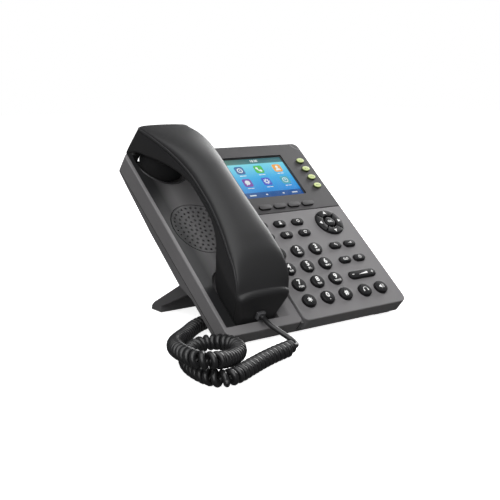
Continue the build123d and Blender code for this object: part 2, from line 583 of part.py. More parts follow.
def build_ports():
    """Two network sockets and the power socket in the rear bay, and the handset cord's in the pocket."""
    wall = PORT_BAY_Y[0] - 0.2
    solids = []
    for middle, width in rear_sockets():
        deep = 14 if middle == POWER_X else 21
        solids.append(block((middle - width / 2, wall - deep, PORT_LOW),
                            (middle + width / 2, wall, PORT_HIGH)))
    for index, middle in enumerate(PORT_CENTRES):
        solids[index] -= block((middle - 5.9, wall - 15, PORT_LOW + 1.3),
                               (middle + 5.9, wall + 1, PORT_HIGH - 1.3))
    height = (PORT_LOW + PORT_HIGH) / 2
    solids[2] -= Pos(POWER_X, wall - 5, height) * Cylinder(3.15, 12, rotation=(90, 0, 0))
    solids[2] += Pos(POWER_X, wall - 7.2, height) * Cylinder(1.05, 9, rotation=(90, 0, 0))
    x, wall = HANDSET_PORT_X, POCKET_Y[1]
    body = block((x - 5.5, wall + 0.2, HANDSET_PORT_LOW), (x + 5.5, wall + 14, HANDSET_PORT_HIGH))
    half = (PLUG_SIZE[0] / 2 + 0.15, PLUG_SIZE[1] / 2 + 0.2)
    solids.append(body - block((x - half[0], wall - 1, HANDSET_PORT_MIDDLE - half[1]),
                               (x + half[0], wall + 12, HANDSET_PORT_MIDDLE + half[1])))
    return Compound(solids)


# Handset


def jack_plane():
    """The handset socket's frame: its origin on the end face, its Z pointing out."""
    distance = END_FOOT[0] + JACK_Z * tan(radians(END_LEAN))
    return Plane(origin=(CRADLE_X, distance, JACK_Z), x_dir=(1, 0, 0),
                 z_dir=(0, -cos(radians(END_LEAN)), sin(radians(END_LEAN))))


def socket_block(width, height, low, high):
    """A box on the handset socket's axis."""
    return jack_plane() * Pos(0, 0, (low + high) / 2) * Box(width, height, high - low)


def build_handset():
    """The handset's two shells, split along the seam on its sides."""
    inside = handset_solid(WALL)
    skin = handset_solid(0) - inside
    seam = Spline(*SEAM)
    rest = Polyline(SEAM[-1], (240, 0), (240, 90), (-30, 90), (-30, -30), (SEAM_FOOT, -30), (SEAM_FOOT, 0),
                    SEAM[0])
    above = make_face([Plane.YZ * edge for edge in [seam, *rest.edges()]])
    upper = extrude(above, amount=2 * DEEP, both=True)
    opening = socket_block(11.2, 9.2, -6, 6)
    back = (skin & upper) - opening
    front = skin - upper - opening
    centre = (CRADLE_X, EARPIECE_Y)
    boss = disc(centre, EARPIECE_RADIUS, EARPIECE_BOTTOM, 22) - handset_solid(0)
    front += boss
    front -= disc(centre, EARPIECE_RADIUS - WALL, EARPIECE_BOTTOM + WALL, 22)
    holes = [disc(centre, 0.9, -DEEP, 0)]
    for index in range(6):
        angle = pi * index / 3
        holes.append(disc((CRADLE_X + 7 * cos(angle), EARPIECE_Y + 7 * sin(angle)), 0.9, -DEEP, 0))
    holes.append(disc(MOUTH_HOLE, 1.0, -DEEP, 0))
    front -= holes
    return biggest(back), biggest(front)


def biggest(shape):
    """The main solid, without any stray sliver left by a cut."""
    return shape.solids().sort_by(SortBy.VOLUME)[-1]


def build_capsules():
    """The receiver over the earpiece holes and the small microphone in the mouthpiece."""
    floor = EARPIECE_BOTTOM + WALL
    receiver = disc((CRADLE_X, EARPIECE_Y), 16.5, floor, floor + 6)
    receiver += disc((CRADLE_X, EARPIECE_Y), 9, floor, floor + 9)
    floor = MOUTH_BOTTOM + WALL
    return Compound([receiver, disc(MOUTH_HOLE, 4.8, floor, floor + 5)])


def build_handset_jack():
    """The cord's socket in the handset's end."""
    return socket_block(11.0, 9.0, -14, -0.4) - socket_block(PLUG_SIZE[0] + 0.3, PLUG_SIZE[1] + 0.4, -12, 1)


# Cord


def tube(points, diameter, name):
    """A plain tube along straight runs joined by arcs, each as large as its two runs allow."""
    points = [Vector(*point) for point in points]
    radii = []
    for before, corner, after in zip(points, points[1:], points[2:]):
        turn = radians((corner - before).get_angle(after - corner))
        shorter = min((corner - before).length, (after - corner).length)
        radii.append(0.45 * shorter / tan(turn / 2))
    path = FilletPolyline(*points, radius=radii)
    solid = sweep(Plane(origin=path @ 0, z_dir=path % 0) * Circle(diameter / 2), path=path)
    share = solid.volume / (pi * diameter ** 2 / 4 * path.length)
    print(name, "length", round(path.length, 1), "volume share", round(share, 4))
    print("  radii", [round(radius, 1) for radius in radii])
    return solid


def build_plug():
    """A cord plug, drawn on its own axis with its cord end at Z = PLUG_OUT."""
    return Pos(0, 0, (PLUG_OUT - PLUG_IN) / 2) * Box(*PLUG_SIZE, PLUG_IN + PLUG_OUT)


def main():
    """Builds every piece and writes one STEP file for each."""
    keys = build_keys()
    x, y = SCREEN_CENTRE
    lens = [side / 2 + LENS_MARGIN for side in SCREEN_SIZE]
    lcd = [side / 2 for side in LCD_SIZE]
    back, front = build_handset()
    speaker = (CRADLE_X, GRILLE_Y)
    slab_parts = {
        "keypad_cover": build_keypad_cover(),
        "display_bezel": build_display_bezel(),
        "cradle_cover": build_cradle_cover(),
        "bottom_shell": build_bottom_shell(),
        "display_lens": block((x - lens[0], y - lens[1], LENS_SEAT), (x + lens[0], y + lens[1], -0.1), 1.3),
        "lcd_module": block((x - lcd[0], y - lcd[1], LCD_BACK), (x + lcd[0], y + lcd[1], -WALL)),
        "main_board": block((-16, 6, BOARD_BOTTOM), (80, 172, BOARD_TOP), 2.0)
        - disc(SCREWS[2], 4.0, -DEEP, 0),
        "keypad_mat": build_keypad_mat(keys),
        "base_speaker": disc(speaker, SPEAKER_RADIUS, -9.0, -6.2) + disc(speaker, 11, -15.5, -9.0),
        "hook_switch": stadium(HOOK_PLACE, HOOK_SIZE, HOOK_FLANGE[0], HOOK_TOP)
        + stadium(HOOK_PLACE, [side + 2 for side in HOOK_SIZE], *HOOK_FLANGE),
        "case_screws": build_case_screws(),
        "ports": build_ports(),
        "handset_back_shell": back,
        "handset_front_shell": front,
        "handset_capsules": build_capsules(),
        "handset_jack": build_handset_jack(),
        "cord_plug_handset": jack_plane() * build_plug(),
        "cord_plug_base": Plane(origin=(HANDSET_PORT_X, POCKET_Y[1], HANDSET_PORT_MIDDLE), x_dir=(1, 0, 0),
                                z_dir=(0, -1, 0)) * build_plug(),
        **keys,
    }
    parts = {name: place(shape) for name, shape in slab_parts.items()}
    parts["stand"] = build_stand()
    parts["rubber_feet"] = build_rubber_feet()
    without_cord = [part for name, part in parts.items() if not name.startswith("cord_")]
    phone = Compound([solid for part in without_cord for solid in part.solids()])
    box = phone.bounding_box()
    print("phone box", box.min, box.max, "middle", box.center())
    parts["cord_curl"] = tube(CURL, CURL_DIAMETER, "curl")
    parts["cord_leads"] = Compound([tube(LEAD_HANDSET, LEAD_DIAMETER, "handset lead"),
                                    tube(LEAD_BASE, LEAD_DIAMETER, "base lead")])
    os.makedirs("parts", exist_ok=True)
    for name, part in parts.items():
        export_step(part, f"parts/{name}.step")
    print(len(parts), "parts written")


main()
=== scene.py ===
"""The desk IP phone's looks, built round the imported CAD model.

Shapes are drawn in millimetres in the slab frame, X across, Y up the sloping face and Z out of it, and
SLAB puts them in the frame in metres. The cord is drawn in the table frame, in metres.
"""

import json
from itertools import product
from math import asin, atan2, copysign, cos, pi, radians, sin, sqrt, tan

import bmesh
import bpy
import numpy as np
from mathutils import Matrix, Vector


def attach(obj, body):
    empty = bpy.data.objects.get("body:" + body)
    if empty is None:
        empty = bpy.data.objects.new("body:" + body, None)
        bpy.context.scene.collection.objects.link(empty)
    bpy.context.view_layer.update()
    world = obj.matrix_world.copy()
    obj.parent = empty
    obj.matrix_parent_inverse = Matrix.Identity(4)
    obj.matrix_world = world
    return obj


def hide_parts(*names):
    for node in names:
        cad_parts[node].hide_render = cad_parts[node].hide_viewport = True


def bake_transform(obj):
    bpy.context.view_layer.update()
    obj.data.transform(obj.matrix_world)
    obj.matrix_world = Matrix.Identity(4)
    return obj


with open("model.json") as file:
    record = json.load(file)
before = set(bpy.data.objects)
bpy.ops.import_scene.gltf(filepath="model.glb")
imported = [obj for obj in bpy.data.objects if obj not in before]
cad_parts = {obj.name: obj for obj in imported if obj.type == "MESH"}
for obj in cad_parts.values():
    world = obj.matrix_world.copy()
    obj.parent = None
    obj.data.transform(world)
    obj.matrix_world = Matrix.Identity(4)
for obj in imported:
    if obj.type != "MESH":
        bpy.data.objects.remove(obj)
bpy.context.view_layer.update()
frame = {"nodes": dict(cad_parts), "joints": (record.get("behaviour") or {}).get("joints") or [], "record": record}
SCENE = bpy.context.scene
NODES = frame["nodes"]
BODIES = frame["record"]["behaviour"]["bodies"]
BODY_OF = {node: body for body, nodes in BODIES.items() for node in nodes}


# Camera, first, because the cord's room is judged from it
CAMERA_PLACE = (-0.468, -0.605, 0.2005)
CAMERA_AIM = (0.590, 0.785, -0.188)

camera = bpy.data.objects.new("camera", bpy.data.cameras.new("camera"))
SCENE.collection.objects.link(camera)
camera.location = CAMERA_PLACE
camera.rotation_mode = "QUATERNION"
camera.rotation_quaternion = Vector(CAMERA_AIM).to_track_quat("-Z", "Y")
camera.data.lens = 64.8
camera.data.sensor_width = 36.0
camera.data.clip_start = 0.01
SCENE.camera = camera
SCENE.view_settings.view_transform = "Standard"


# The slab frame
OUT = Vector(next(joint for joint in frame["joints"] if joint["name"] == "handset_lift")["axis"]).normalized()
UP = Vector((0.0, OUT.z, -OUT.y))


def corners(node):
    """A CAD node's vertices as an array, in metres."""
    return np.array([vertex.co for vertex in NODES[node].data.vertices], float)


PANEL = corners("keypad_cover")
ORIGIN = OUT * float((PANEL @ np.array(OUT)).max()) + UP * float((PANEL @ np.array(UP)).min())
MM = 0.001
SLAB = Matrix((
    (MM, 0, 0, ORIGIN.x),
    (0, UP.y * MM, OUT.y * MM, ORIGIN.y),
    (0, UP.z * MM, OUT.z * MM, ORIGIN.z),
    (0, 0, 0, 1)))


def in_slab(node):
    """A CAD node's vertices in the slab frame, in millimetres."""
    back = np.array(SLAB.inverted())
    return corners(node) @ back[:3, :3].T + back[:3, 3]


# Materials


def shader(name):
    """A new material's node tree and its Principled shader."""
    material = bpy.data.materials.new(name)
    material.use_nodes = True
    tree = material.node_tree
    return material, tree, tree.nodes["Principled BSDF"]


def noise(tree, scale, detail=2.0):
    """A noise texture over the object's own coordinates, in features per metre."""
    place = tree.nodes.new("ShaderNodeTexCoord")
    texture = tree.nodes.new("ShaderNodeTexNoise")
    texture.inputs["Scale"].default_value = scale
    texture.inputs["Detail"].default_value = detail
    tree.links.new(place.outputs["Object"], texture.inputs["Vector"])
    return texture.outputs["Fac"]


def ramp(tree, value, stops):
    """A colour ramp fed by a value."""
    node = tree.nodes.new("ShaderNodeValToRGB")
    elements = node.color_ramp.elements
    while len(elements) < len(stops):
        elements.new(0.5)
    for element, (position, colour) in zip(elements, stops):
        element.position = position
        element.color = (*colour, 1.0)
    tree.links.new(value, node.inputs["Fac"])
    return node.outputs["Color"]


def spread(tree, value, source, target=(0.0, 1.0)):
    """Maps one range of a value onto another."""
    node = tree.nodes.new("ShaderNodeMapRange")
    for limit, amount in zip(("From Min", "From Max", "To Min", "To Max"), (*source, *target)):
        node.inputs[limit].default_value = amount
    tree.links.new(value, node.inputs["Value"])
    return node.outputs["Result"]


def span(tree, value, low, high):
    """Maps the middle of a noise's range onto low to high."""
    return spread(tree, value, (0.3, 0.7), (low, high))


def slab_coordinate(tree, direction, low, high):
    """How far a point is along a slab direction, from 0 at low to 1 at high, both in millimetres."""
    place = tree.nodes.new("ShaderNodeTexCoord")
    dot = tree.nodes.new("ShaderNodeVectorMath")
    dot.operation = "DOT_PRODUCT"
    dot.inputs[1].default_value = direction
    tree.links.new(place.outputs["Object"], dot.inputs[0])
    base = ORIGIN.dot(Vector(direction))
    return spread(tree, dot.outputs["Value"], (base + low * MM, base + high * MM))


def grained(tree, principled, grain, depth):
    """Gives a surface a fine bump; grain and depth in millimetres."""
    bump = tree.nodes.new("ShaderNodeBump")
    bump.inputs["Strength"].default_value = 0.35
    bump.inputs["Distance"].default_value = depth * MM
    tree.links.new(noise(tree, 1000.0 / grain), bump.inputs["Height"])
    tree.links.new(bump.outputs["Normal"], principled.inputs["Normal"])


def plastic(name, colour, rough, grain=0.35, depth=0.02, vary=0.05, coat=0.0, mottle=30.0):
    """Moulded plastic: fine spark-eroded grain, faint cloudiness in colour and gloss."""
    material, tree, principled = shader(name)
    cloud = noise(tree, mottle, 3.0)
    stops = [(0.3, [part * (1 - vary) for part in colour]), (0.7, [part * (1 + vary) for part in colour])]
    tree.links.new(ramp(tree, cloud, stops), principled.inputs["Base Color"])
    tree.links.new(span(tree, cloud, rough * 0.93, rough * 1.07), principled.inputs["Roughness"])
    grained(tree, principled, grain, depth)
    principled.inputs["Coat Weight"].default_value = coat
    principled.inputs["Coat Roughness"].default_value = 0.12
    return material


def lit(name, colour, glow, rough=0.3):
    """Translucent plastic lit from below, faintly cloudy."""
    material, tree, principled = shader(name)
    cloud = noise(tree, 400.0)
    shade = ramp(tree, cloud, [(0.25, [part * 0.86 for part in colour]), (0.75, colour)])
    tree.links.new(shade, principled.inputs["Base Color"])
    tree.links.new(shade, principled.inputs["Emission Color"])
    principled.inputs["Emission Strength"].default_value = glow
    principled.inputs["Roughness"].default_value = rough
    return material


GREY = plastic("panel_plastic", (0.185, 0.180, 0.184), 0.46)
BEZEL = plastic("bezel_plastic", (0.068, 0.066, 0.068), 0.42)
# The bottom shell is given a darker grey than the panel: painted shade on the base's sides.
SHELL = plastic("shell_plastic", (0.135, 0.132, 0.135), 0.5, depth=0.03)
STAND = plastic("stand_plastic", (0.105, 0.103, 0.106), 0.5, depth=0.03)
HANDSET = plastic("handset_plastic", (0.026, 0.026, 0.027), 0.45, grain=0.3, depth=0.008, vary=0.04,
                  mottle=14)
RIM = plastic("handset_rim_plastic", (0.035, 0.035, 0.037), 0.36, depth=0.01)
KEY = plastic("key_plastic", (0.008, 0.008, 0.009), 0.36, grain=0.6, depth=0.003, coat=0.15, mottle=90)
for finish, level in ((HANDSET, 0.32), (KEY, 0.15), (GREY, 0.3), (BEZEL, 0.22), (STAND, 0.4)):
    finish.node_tree.nodes["Principled BSDF"].inputs["Specular IOR Level"].default_value = level
BLACK = plastic("black_plastic", (0.016, 0.016, 0.017), 0.45)
VINYL = plastic("cord_vinyl", (0.016, 0.016, 0.017), 0.33, grain=0.8, depth=0.02, vary=0.12, coat=0.1,
                mottle=120)
RUBBER = plastic("foot_rubber_grey", (0.025, 0.025, 0.026), 0.8, grain=0.5, depth=0.06)
SILICONE = plastic("mat_silicone", (0.42, 0.42, 0.43), 0.6)
BOARD = plastic("board_mask", (0.02, 0.13, 0.06), 0.35, grain=1.2, depth=0.05, vary=0.25)
SMOKED = plastic("plug_smoked", (0.10, 0.10, 0.105), 0.16, grain=1.0, depth=0.004, coat=0.4)
PAINT = plastic("legend_paint", (0.92, 0.92, 0.91), 0.5, grain=0.2, depth=0.004, vary=0.03)
# Black for painted shade: the parting line, the earpiece and microphone holes, the ear well's end cheeks and the
# grille's holes.
PAINTED_SHADE_BLACK = plastic("painted_shadow_black", (0.012, 0.012, 0.012), 0.7)
LAMP = plastic("lamp_guide", (0.30, 0.30, 0.30), 0.3)
LINE_GLOW = lit("line_key_lit", (0.50, 0.58, 0.24), 0.28)


def metal(name, colour, rough, lines):
    """Metal with fine drawing lines."""
    material, tree, principled = shader(name)
    streak = noise(tree, lines, 4.0)
    tree.links.new(span(tree, streak, rough * 0.8, rough * 1.3), principled.inputs["Roughness"])
    tree.links.new(ramp(tree, streak, [(0.3, [part * 0.85 for part in colour]), (0.7, colour)]),
                   principled.inputs["Base Color"])
    principled.inputs["Metallic"].default_value = 1.0
    return material


SCREW = metal("screw_blackened_steel", (0.20, 0.20, 0.21), 0.35, 900.0)
GOLD = metal("contact_gold", (0.83, 0.62, 0.25), 0.22, 2000.0)


def cradle_plastic_and_painted_shade():
    """The cradle's grey plastic, with painted shade in the handset's hollow, nearly black at its left side and
    grey towards the right.
    """
    material, tree, principled = shader("cradle_plastic_and_painted_shade")
    inner = in_slab("cradle_cover")
    left, right = inner[:, 0].min(), inner[:, 0].max()
    # Where the painted shade lies: the hollow below the face, inside its walls.
    masks = [slab_coordinate(tree, OUT, -0.15, -0.45), slab_coordinate(tree, UP, 5.0, 6.5),
             slab_coordinate(tree, (1, 0, 0), left + 3.2, left + 3.6),
             slab_coordinate(tree, (1, 0, 0), right - 5.0, right - 5.4)]
    mask = masks[0]
    for other in masks[1:]:
        both = tree.nodes.new("ShaderNodeMath")
        both.operation = "MULTIPLY"
        tree.links.new(mask, both.inputs[0])
        tree.links.new(other, both.inputs[1])
        mask = both.outputs[0]
    cloud = noise(tree, 25.0, 3.0)
    mix = tree.nodes.new("ShaderNodeMix")
    mix.data_type = "RGBA"
    tree.links.new(mask, mix.inputs["Factor"])
    grey = [(0.3, (0.176, 0.171, 0.175)), (0.7, (0.194, 0.189, 0.193))]
    tree.links.new(ramp(tree, cloud, grey), mix.inputs["A"])
    # Painted shade across the hollow: nearly black at its left side, grey from a little past a third of the way
    # across.
    across = slab_coordinate(tree, (1, 0, 0), left, right)
    painted_hollow_shade = [(0.0, (0.014, 0.014, 0.015)), (0.2, (0.018, 0.018, 0.019)), (0.38, (0.13, 0.127, 0.13)),
             (1.0, (0.15, 0.147, 0.15))]
    tree.links.new(ramp(tree, across, painted_hollow_shade), mix.inputs["B"])
    tree.links.new(mix.outputs["Result"], principled.inputs["Base Color"])
    tree.links.new(span(tree, cloud, 0.5, 0.56), principled.inputs["Roughness"])
    principled.inputs["Specular IOR Level"].default_value = 0.15
    grained(tree, principled, 1000 / 2900, 0.02)
    return material


def lens_glass():
    """The clear window over the display, with a faint oily variation in its gloss."""
    material, tree, principled = shader("lens_clear")
    principled.inputs["Base Color"].default_value = (0.02, 0.02, 0.025, 1.0)
    principled.inputs["Alpha"].default_value = 0.08
    tree.links.new(span(tree, noise(tree, 60.0), 0.04, 0.09), principled.inputs["Roughness"])
    return material


NODE_MATERIALS = {
    "bottom_shell": SHELL, "keypad_cover": GREY, "display_bezel": BEZEL, "cradle_cover": cradle_plastic_and_painted_shade(),
    "display_lens": lens_glass(), "lcd_module": BLACK, "main_board": BOARD, "keypad_mat": SILICONE,
    "base_speaker": BLACK, "hook_switch": BLACK, "stand": STAND, "rubber_feet": RUBBER, "case_screws": SCREW,
    "ports": BLACK, "handset_capsules": BLACK, "handset_jack": BLACK, "cord_plug_base": SMOKED,
}
for node, finish in NODE_MATERIALS.items():
    for material_slot in NODES[node].material_slots:
        material_slot.material = finish


# Mesh helpers


def quads(rows, columns, closed=False):
    """Faces over a grid of points, row by row; closed joins each row's ends."""
    faces = []
    for row in range(rows - 1):
        for column in range(columns if closed else columns - 1):
            right = (column + 1) % columns
            faces.append((row * columns + column, row * columns + right,
                          (row + 1) * columns + right, (row + 1) * columns + column))
    return faces


def piece(name, points, faces, finishes, body, matrix=SLAB, indices=None, sharp=38.0):
    """A new mesh piece in place, smooth except at sharp edges, riding on its body."""
    mesh = bpy.data.meshes.new(name)
    mesh.from_pydata([tuple(point) for point in points], [], faces)
    mesh.transform(matrix)
    for finish in finishes if isinstance(finishes, (list, tuple)) else [finishes]:
        mesh.materials.append(finish)
    if indices:
        mesh.polygons.foreach_set("material_index", indices)
    build = bmesh.new()
    build.from_mesh(mesh)
    bmesh.ops.remove_doubles(build, verts=build.verts, dist=2e-6)
    bmesh.ops.recalc_face_normals(build, faces=build.faces)
    build.to_mesh(mesh)
    build.free()
    mesh.polygons.foreach_set("use_smooth", [True] * len(mesh.polygons))
    mesh.set_sharp_from_angle(angle=radians(sharp))
    made = bpy.data.objects.new(name, mesh)
    SCENE.collection.objects.link(made)
    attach(made, body)
    return made


def rounded(size, corner, centre=(0.0, 0.0), count=48):
    """A rounded rectangle as a function of its inset."""
    def outline(inset):
        radius = max(corner - inset, 0.04)
        half = [side / 2 - inset - radius for side in size]
        points = []
        for index in range(count):
            angle = 2 * pi * (index + 0.5) / count
            points.append((centre[0] + copysign(half[0], cos(angle)) + radius * cos(angle),
                           centre[1] + copysign(half[1], sin(angle)) + radius * sin(angle)))
        return points
    return outline


def ellipse(size, centre, count=48):
    """An ellipse as a function of its inset."""
    def outline(inset):
        return [(centre[0] + (size[0] / 2 - inset) * cos(2 * pi * index / count),
                 centre[1] + (size[1] / 2 - inset) * sin(2 * pi * index / count)) for index in range(count)]
    return outline


def sector(centre, middle, inner, outer, gap, count=40):
    """A quarter of a ring, with parallel-sided gaps to its neighbours, as a function of its inset."""
    def outline(inset):
        points = []
        for radius, way in ((outer - inset, 1), (inner + inset, -1)):
            half = pi / 4 - asin((gap + inset) / radius)
            for index in range(count // 2):
                angle = middle + way * half * (2 * index / (count // 2 - 1) - 1)
                points.append((centre[0] + radius * cos(angle), centre[1] + radius * sin(angle)))
        return points
    return outline


def stack(name, outline, profile, finishes, body, split=None, matrix=SLAB):
    """A closed solid of one outline stacked at (inset, height) steps; faces from step split on take the
    second finish."""
    rows = [[(x, y, height) for x, y in outline(inset)] for inset, height in profile]
    columns = len(rows[0])
    faces = quads(len(rows), columns, closed=True)
    indices = [0 if split is None or index // columns < split else 1 for index in range(len(faces))]
    faces.append(tuple(range(columns)))
    faces.append(tuple(range((len(rows) - 1) * columns, len(rows) * columns)))
    indices += [0, 0 if split is None else 1]
    points = [point for row in rows for point in row]
    return piece(name, points, faces, finishes, body, indices=indices, matrix=matrix)


def edge_round(top, radius, bottom, steps=5):
    """The profile of a cap: straight sides and a rounded top edge."""
    profile = [(0.0, bottom)]
    for index in range(steps + 1):
        angle = pi / 2 * index / steps
        profile.append((radius * (1 - cos(angle)), top - radius + radius * sin(angle)))
    return profile


# Keys
KEY_BOTTOM = -3.3
FACE_CLEAR = 0.2            # what stands higher than this above the face is a key's cap
NUMBER_KEYS = ["key_1", "key_2", "key_3", "key_4", "key_5", "key_6", "key_7", "key_8", "key_9",
               "key_star", "key_0", "key_hash"]


def cap_of(node):
    """Middle, size and top of what shows of a key above the face."""
    shape = in_slab(node)
    shape = shape[shape[:, 2] > FACE_CLEAR]
    low, high = shape.min(0), shape.max(0)
    return ((low[0] + high[0]) / 2, (low[1] + high[1]) / 2), (high[0] - low[0], high[1] - low[1]), high[2]


CAPS = {node: cap_of(node) for node in NODES if node.startswith("key_") and node != "keypad_mat"
        and node != "keypad_cover"}
CAPS["volume_rocker"] = cap_of("volume_rocker")
NAV_CENTRE = CAPS["key_ok"][0]
NAV_ANGLE = {"key_nav_right": 0.0, "key_nav_up": pi / 2, "key_nav_left": pi, "key_nav_down": 3 * pi / 2}


def build_key(node):
    """One key's cap with softly rounded edges, in place of its CAD node."""
    centre, size, top = CAPS[node]
    finishes, split, slot, edge = [KEY], None, "key_black", 0.9
    if node.startswith("key_nav_"):
        shape = in_slab(node)
        away = np.hypot(*(shape[shape[:, 2] > FACE_CLEAR][:, :2] - np.array(NAV_CENTRE)).T)
        outline = sector(NAV_CENTRE, NAV_ANGLE[node], away.min(), away.max(), 0.35)
        edge = 0.8
    elif node.startswith("key_line_"):
        outline = ellipse(size, centre)
        # Line keys: glowing tops over dark green sides, the dark sides being painted shade under each key's edge.
        finishes, split, slot = [LINE_SIDE, LINE_GLOW], 3, "key_lit"
    else:
        outline = rounded(size, min(size) / 2 - 0.02, centre)
    if node.startswith("key_soft_"):
        # Soft keys: bezel-grey tops on black sides, the black sides being painted shade along each key's edge.
        finishes, split, slot, edge = [KEY, BEZEL], 2, "bezel_grey", 0.5
    profile = edge_round(top, edge, KEY_BOTTOM)
    cap = stack("cap_" + node, outline, profile, finishes, BODY_OF[node], split)
    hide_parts(node)


# Dark green of the line keys' sides, painted shade; the same colour prints their legends.
LINE_SIDE = lit("line_key_side", (0.05, 0.065, 0.03), 0.05)
for node in CAPS:
    build_key(node)


# Legends
PRINT_UP = 0.035
PRINT_DOWN = -0.05


def prism(points, faces, outline, height):
    """Adds a flat shape of one printed stroke."""
    start, count = len(points), len(outline)
    points += [(x, y, height + PRINT_UP) for x, y in outline]
    points += [(x, y, height + PRINT_DOWN) for x, y in outline]
    faces.append(tuple(range(start, start + count)))
    faces.append(tuple(range(start + 2 * count - 1, start + count - 1, -1)))
    for index in range(count):
        after = (index + 1) % count
        faces.append((start + index, start + count + index, start + count + after, start + after))


def stroke(centre, start, end, width):
    """A straight printed line."""
    along = Vector((end[0] - start[0], end[1] - start[1])).normalized() * width / 2
    side = Vector((-along.y, along.x))
    corners_at = [Vector(start) - side, Vector(end) - side, Vector(end) + side, Vector(start) + side]
    return [[(centre[0] + corner.x, centre[1] + corner.y) for corner in corners_at]]


def arc(centre, middle, radius, width, start=0.0, turn=2 * pi, steps=20):
    """A printed arc or ring, as short flat strips."""
    shapes = []
    for index in range(steps):
        angles = (start + turn * index / steps, start + turn * (index + 1) / steps)
        inner, outer = radius - width / 2, radius + width / 2
        shape = [(inner, angles[0]), (outer, angles[0]), (outer, angles[1]), (inner, angles[1])]
        x, y = centre[0] + middle[0], centre[1] + middle[1]
        shapes.append([(x + reach * cos(angle), y + reach * sin(angle)) for reach, angle in shape])
    return shapes


def polygon(centre, outline):
    """A printed filled shape."""
    return [[(centre[0] + x, centre[1] + y) for x, y in outline]]


def lettering(words, size, centre, height, weight):
    """A printed word as the points and faces of a mesh in the slab frame."""
    curve = bpy.data.curves.new("lettering", "FONT")
    curve.body = words
    curve.size = size
    curve.align_x = "CENTER"
    curve.align_y = "CENTER"
    curve.offset = weight
    curve.extrude = (PRINT_UP - PRINT_DOWN) / 2
    curve.resolution_u = 4
    holder = bpy.data.objects.new("lettering", curve)
    SCENE.collection.objects.link(holder)
    bpy.context.view_layer.update()
    mesh = bpy.data.meshes.new_from_object(holder.evaluated_get(bpy.context.evaluated_depsgraph_get()))
    middle = height + (PRINT_UP + PRINT_DOWN) / 2
    points = [tuple(vertex.co + Vector((*centre, middle))) for vertex in mesh.vertices]
    faces = [tuple(polygon_.vertices) for polygon_ in mesh.polygons]
    bpy.data.objects.remove(holder)
    bpy.data.meshes.remove(mesh)
    bpy.data.curves.remove(curve)
    return points, faces


def legend(node, shapes, words=(), finish=None):
    """Everything printed on one key, as one piece."""
    points, faces = [], []
    for outline in shapes:
        prism(points, faces, outline, CAPS[node][2])
    for text, size, place, weight in words:
        centre = (CAPS[node][0][0] + place[0], CAPS[node][0][1] + place[1])
        more, more_faces = lettering(text, size, centre, CAPS[node][2], weight)
        faces += [tuple(index + len(points) for index in face) for face in more_faces]
        points += more
    piece("print_" + node, points, faces, finish or PAINT, BODY_OF[node])


def star(centre):
    """A printed star of three crossing strokes."""
    ends = [(2.3 * cos(pi * k / 3 + pi / 6), 2.3 * sin(pi * k / 3 + pi / 6)) for k in range(3)]
    return [shape for x, y in ends for shape in stroke(centre, (-x, -y), (x, y), 0.95)]


LETTERS = {"key_2": "ABC", "key_3": "DEF", "key_4": "GHI", "key_5": "JKL", "key_6": "MNO", "key_7": "PQRS",
           "key_8": "TUV", "key_9": "WXYZ", "key_0": "+"}
for node in NUMBER_KEYS:
    if node == "key_star":
        legend(node, star(CAPS[node][0]))
        continue
    written = [("#" if node == "key_hash" else node[-1], 6.6, (0.0, 1.3 if node in LETTERS else 0.0), 0.22)]
    if node in LETTERS:
        written.append((LETTERS[node], 2.3, (0.0, -3.2), 0.06))
    legend(node, [], written)


PICTURES = {
    "key_upper_1": [(arc, (0, 0.3), 1.3, 0.45, 0, pi), (stroke, (-1.3, -1.3), (1.3, -1.3), 0.5)],
    "key_upper_2": [(arc, (0, 0.9), 0.6, 0.6),
                    (polygon, [(-1.5, -1.6), (1.5, -1.6), (0.9, -0.3), (-0.9, -0.3)])],
    "key_upper_3": [(arc, (0, 0), 1.3, 0.55)],
    "key_upper_4": [(arc, (0, 0), 1.3, 0.4), (stroke, (-1.2, -1.2), (1.2, 1.2), 0.45)],
    "key_upper_5": [(stroke, (-0.8, -1.4), (-0.8, 1.4), 0.7), (stroke, (0.8, -1.4), (0.8, 1.4), 0.7)],
    "key_upper_6": [(arc, (0, 0), 1.3, 0.5, 0.7, 5.0), (polygon, [(0.5, 0.9), (2.0, 0.9), (1.2, -0.3)])],
    "key_right_1": [(stroke, (-1.4, 1.1), (1.4, -1.1), 0.7), (stroke, (-1.5, 0.4), (-0.7, 1.5), 0.5)],
    "key_right_2": [(stroke, (-1.5, 0), (0.7, 0), 0.5), (polygon, [(0.4, 1.1), (0.4, -1.1), (1.8, 0)])],
    "key_right_3": [(arc, (-1.5, 0), 0.9, 0.45), (arc, (1.5, 0), 0.9, 0.45),
                    (stroke, (-1.5, -1), (1.5, -1), 0.4)],
    "key_right_4": [(arc, (0, 0), 1.4, 0.4), (stroke, (0, 0), (0, 1.0), 0.4),
                    (stroke, (0, 0), (0.8, 0), 0.4)],
    "key_headset": [(arc, (0, -0.2), 2.3, 0.5, 0, pi), (stroke, (-2.3, -1.9), (-2.3, 0), 1.1),
                    (stroke, (2.3, -1.9), (2.3, 0), 1.1)],
    "key_speaker": [(polygon, [(-2.4, -0.8), (-1.3, -0.8), (0.1, -2.1), (0.1, 2.1), (-1.3, 0.8),
                               (-2.4, 0.8)]),
                    (arc, (0, 0), 1.4, 0.4, -0.9, 1.8, 8), (arc, (0, 0), 2.5, 0.4, -0.9, 1.8, 8)],
    "volume_rocker": [(stroke, (-12.2, 0), (-9.8, 0), 0.6), (stroke, (9.8, 0), (12.2, 0), 0.6),
                      (stroke, (11, -1.2), (11, 1.2), 0.6),
                      (polygon, [(-5.5, -0.9), (5.5, -0.9), (5.5, 1.1)])],
}
NAV_POINTER = [(12.3, 0), (9.3, 1.7), (9.3, -1.7)]


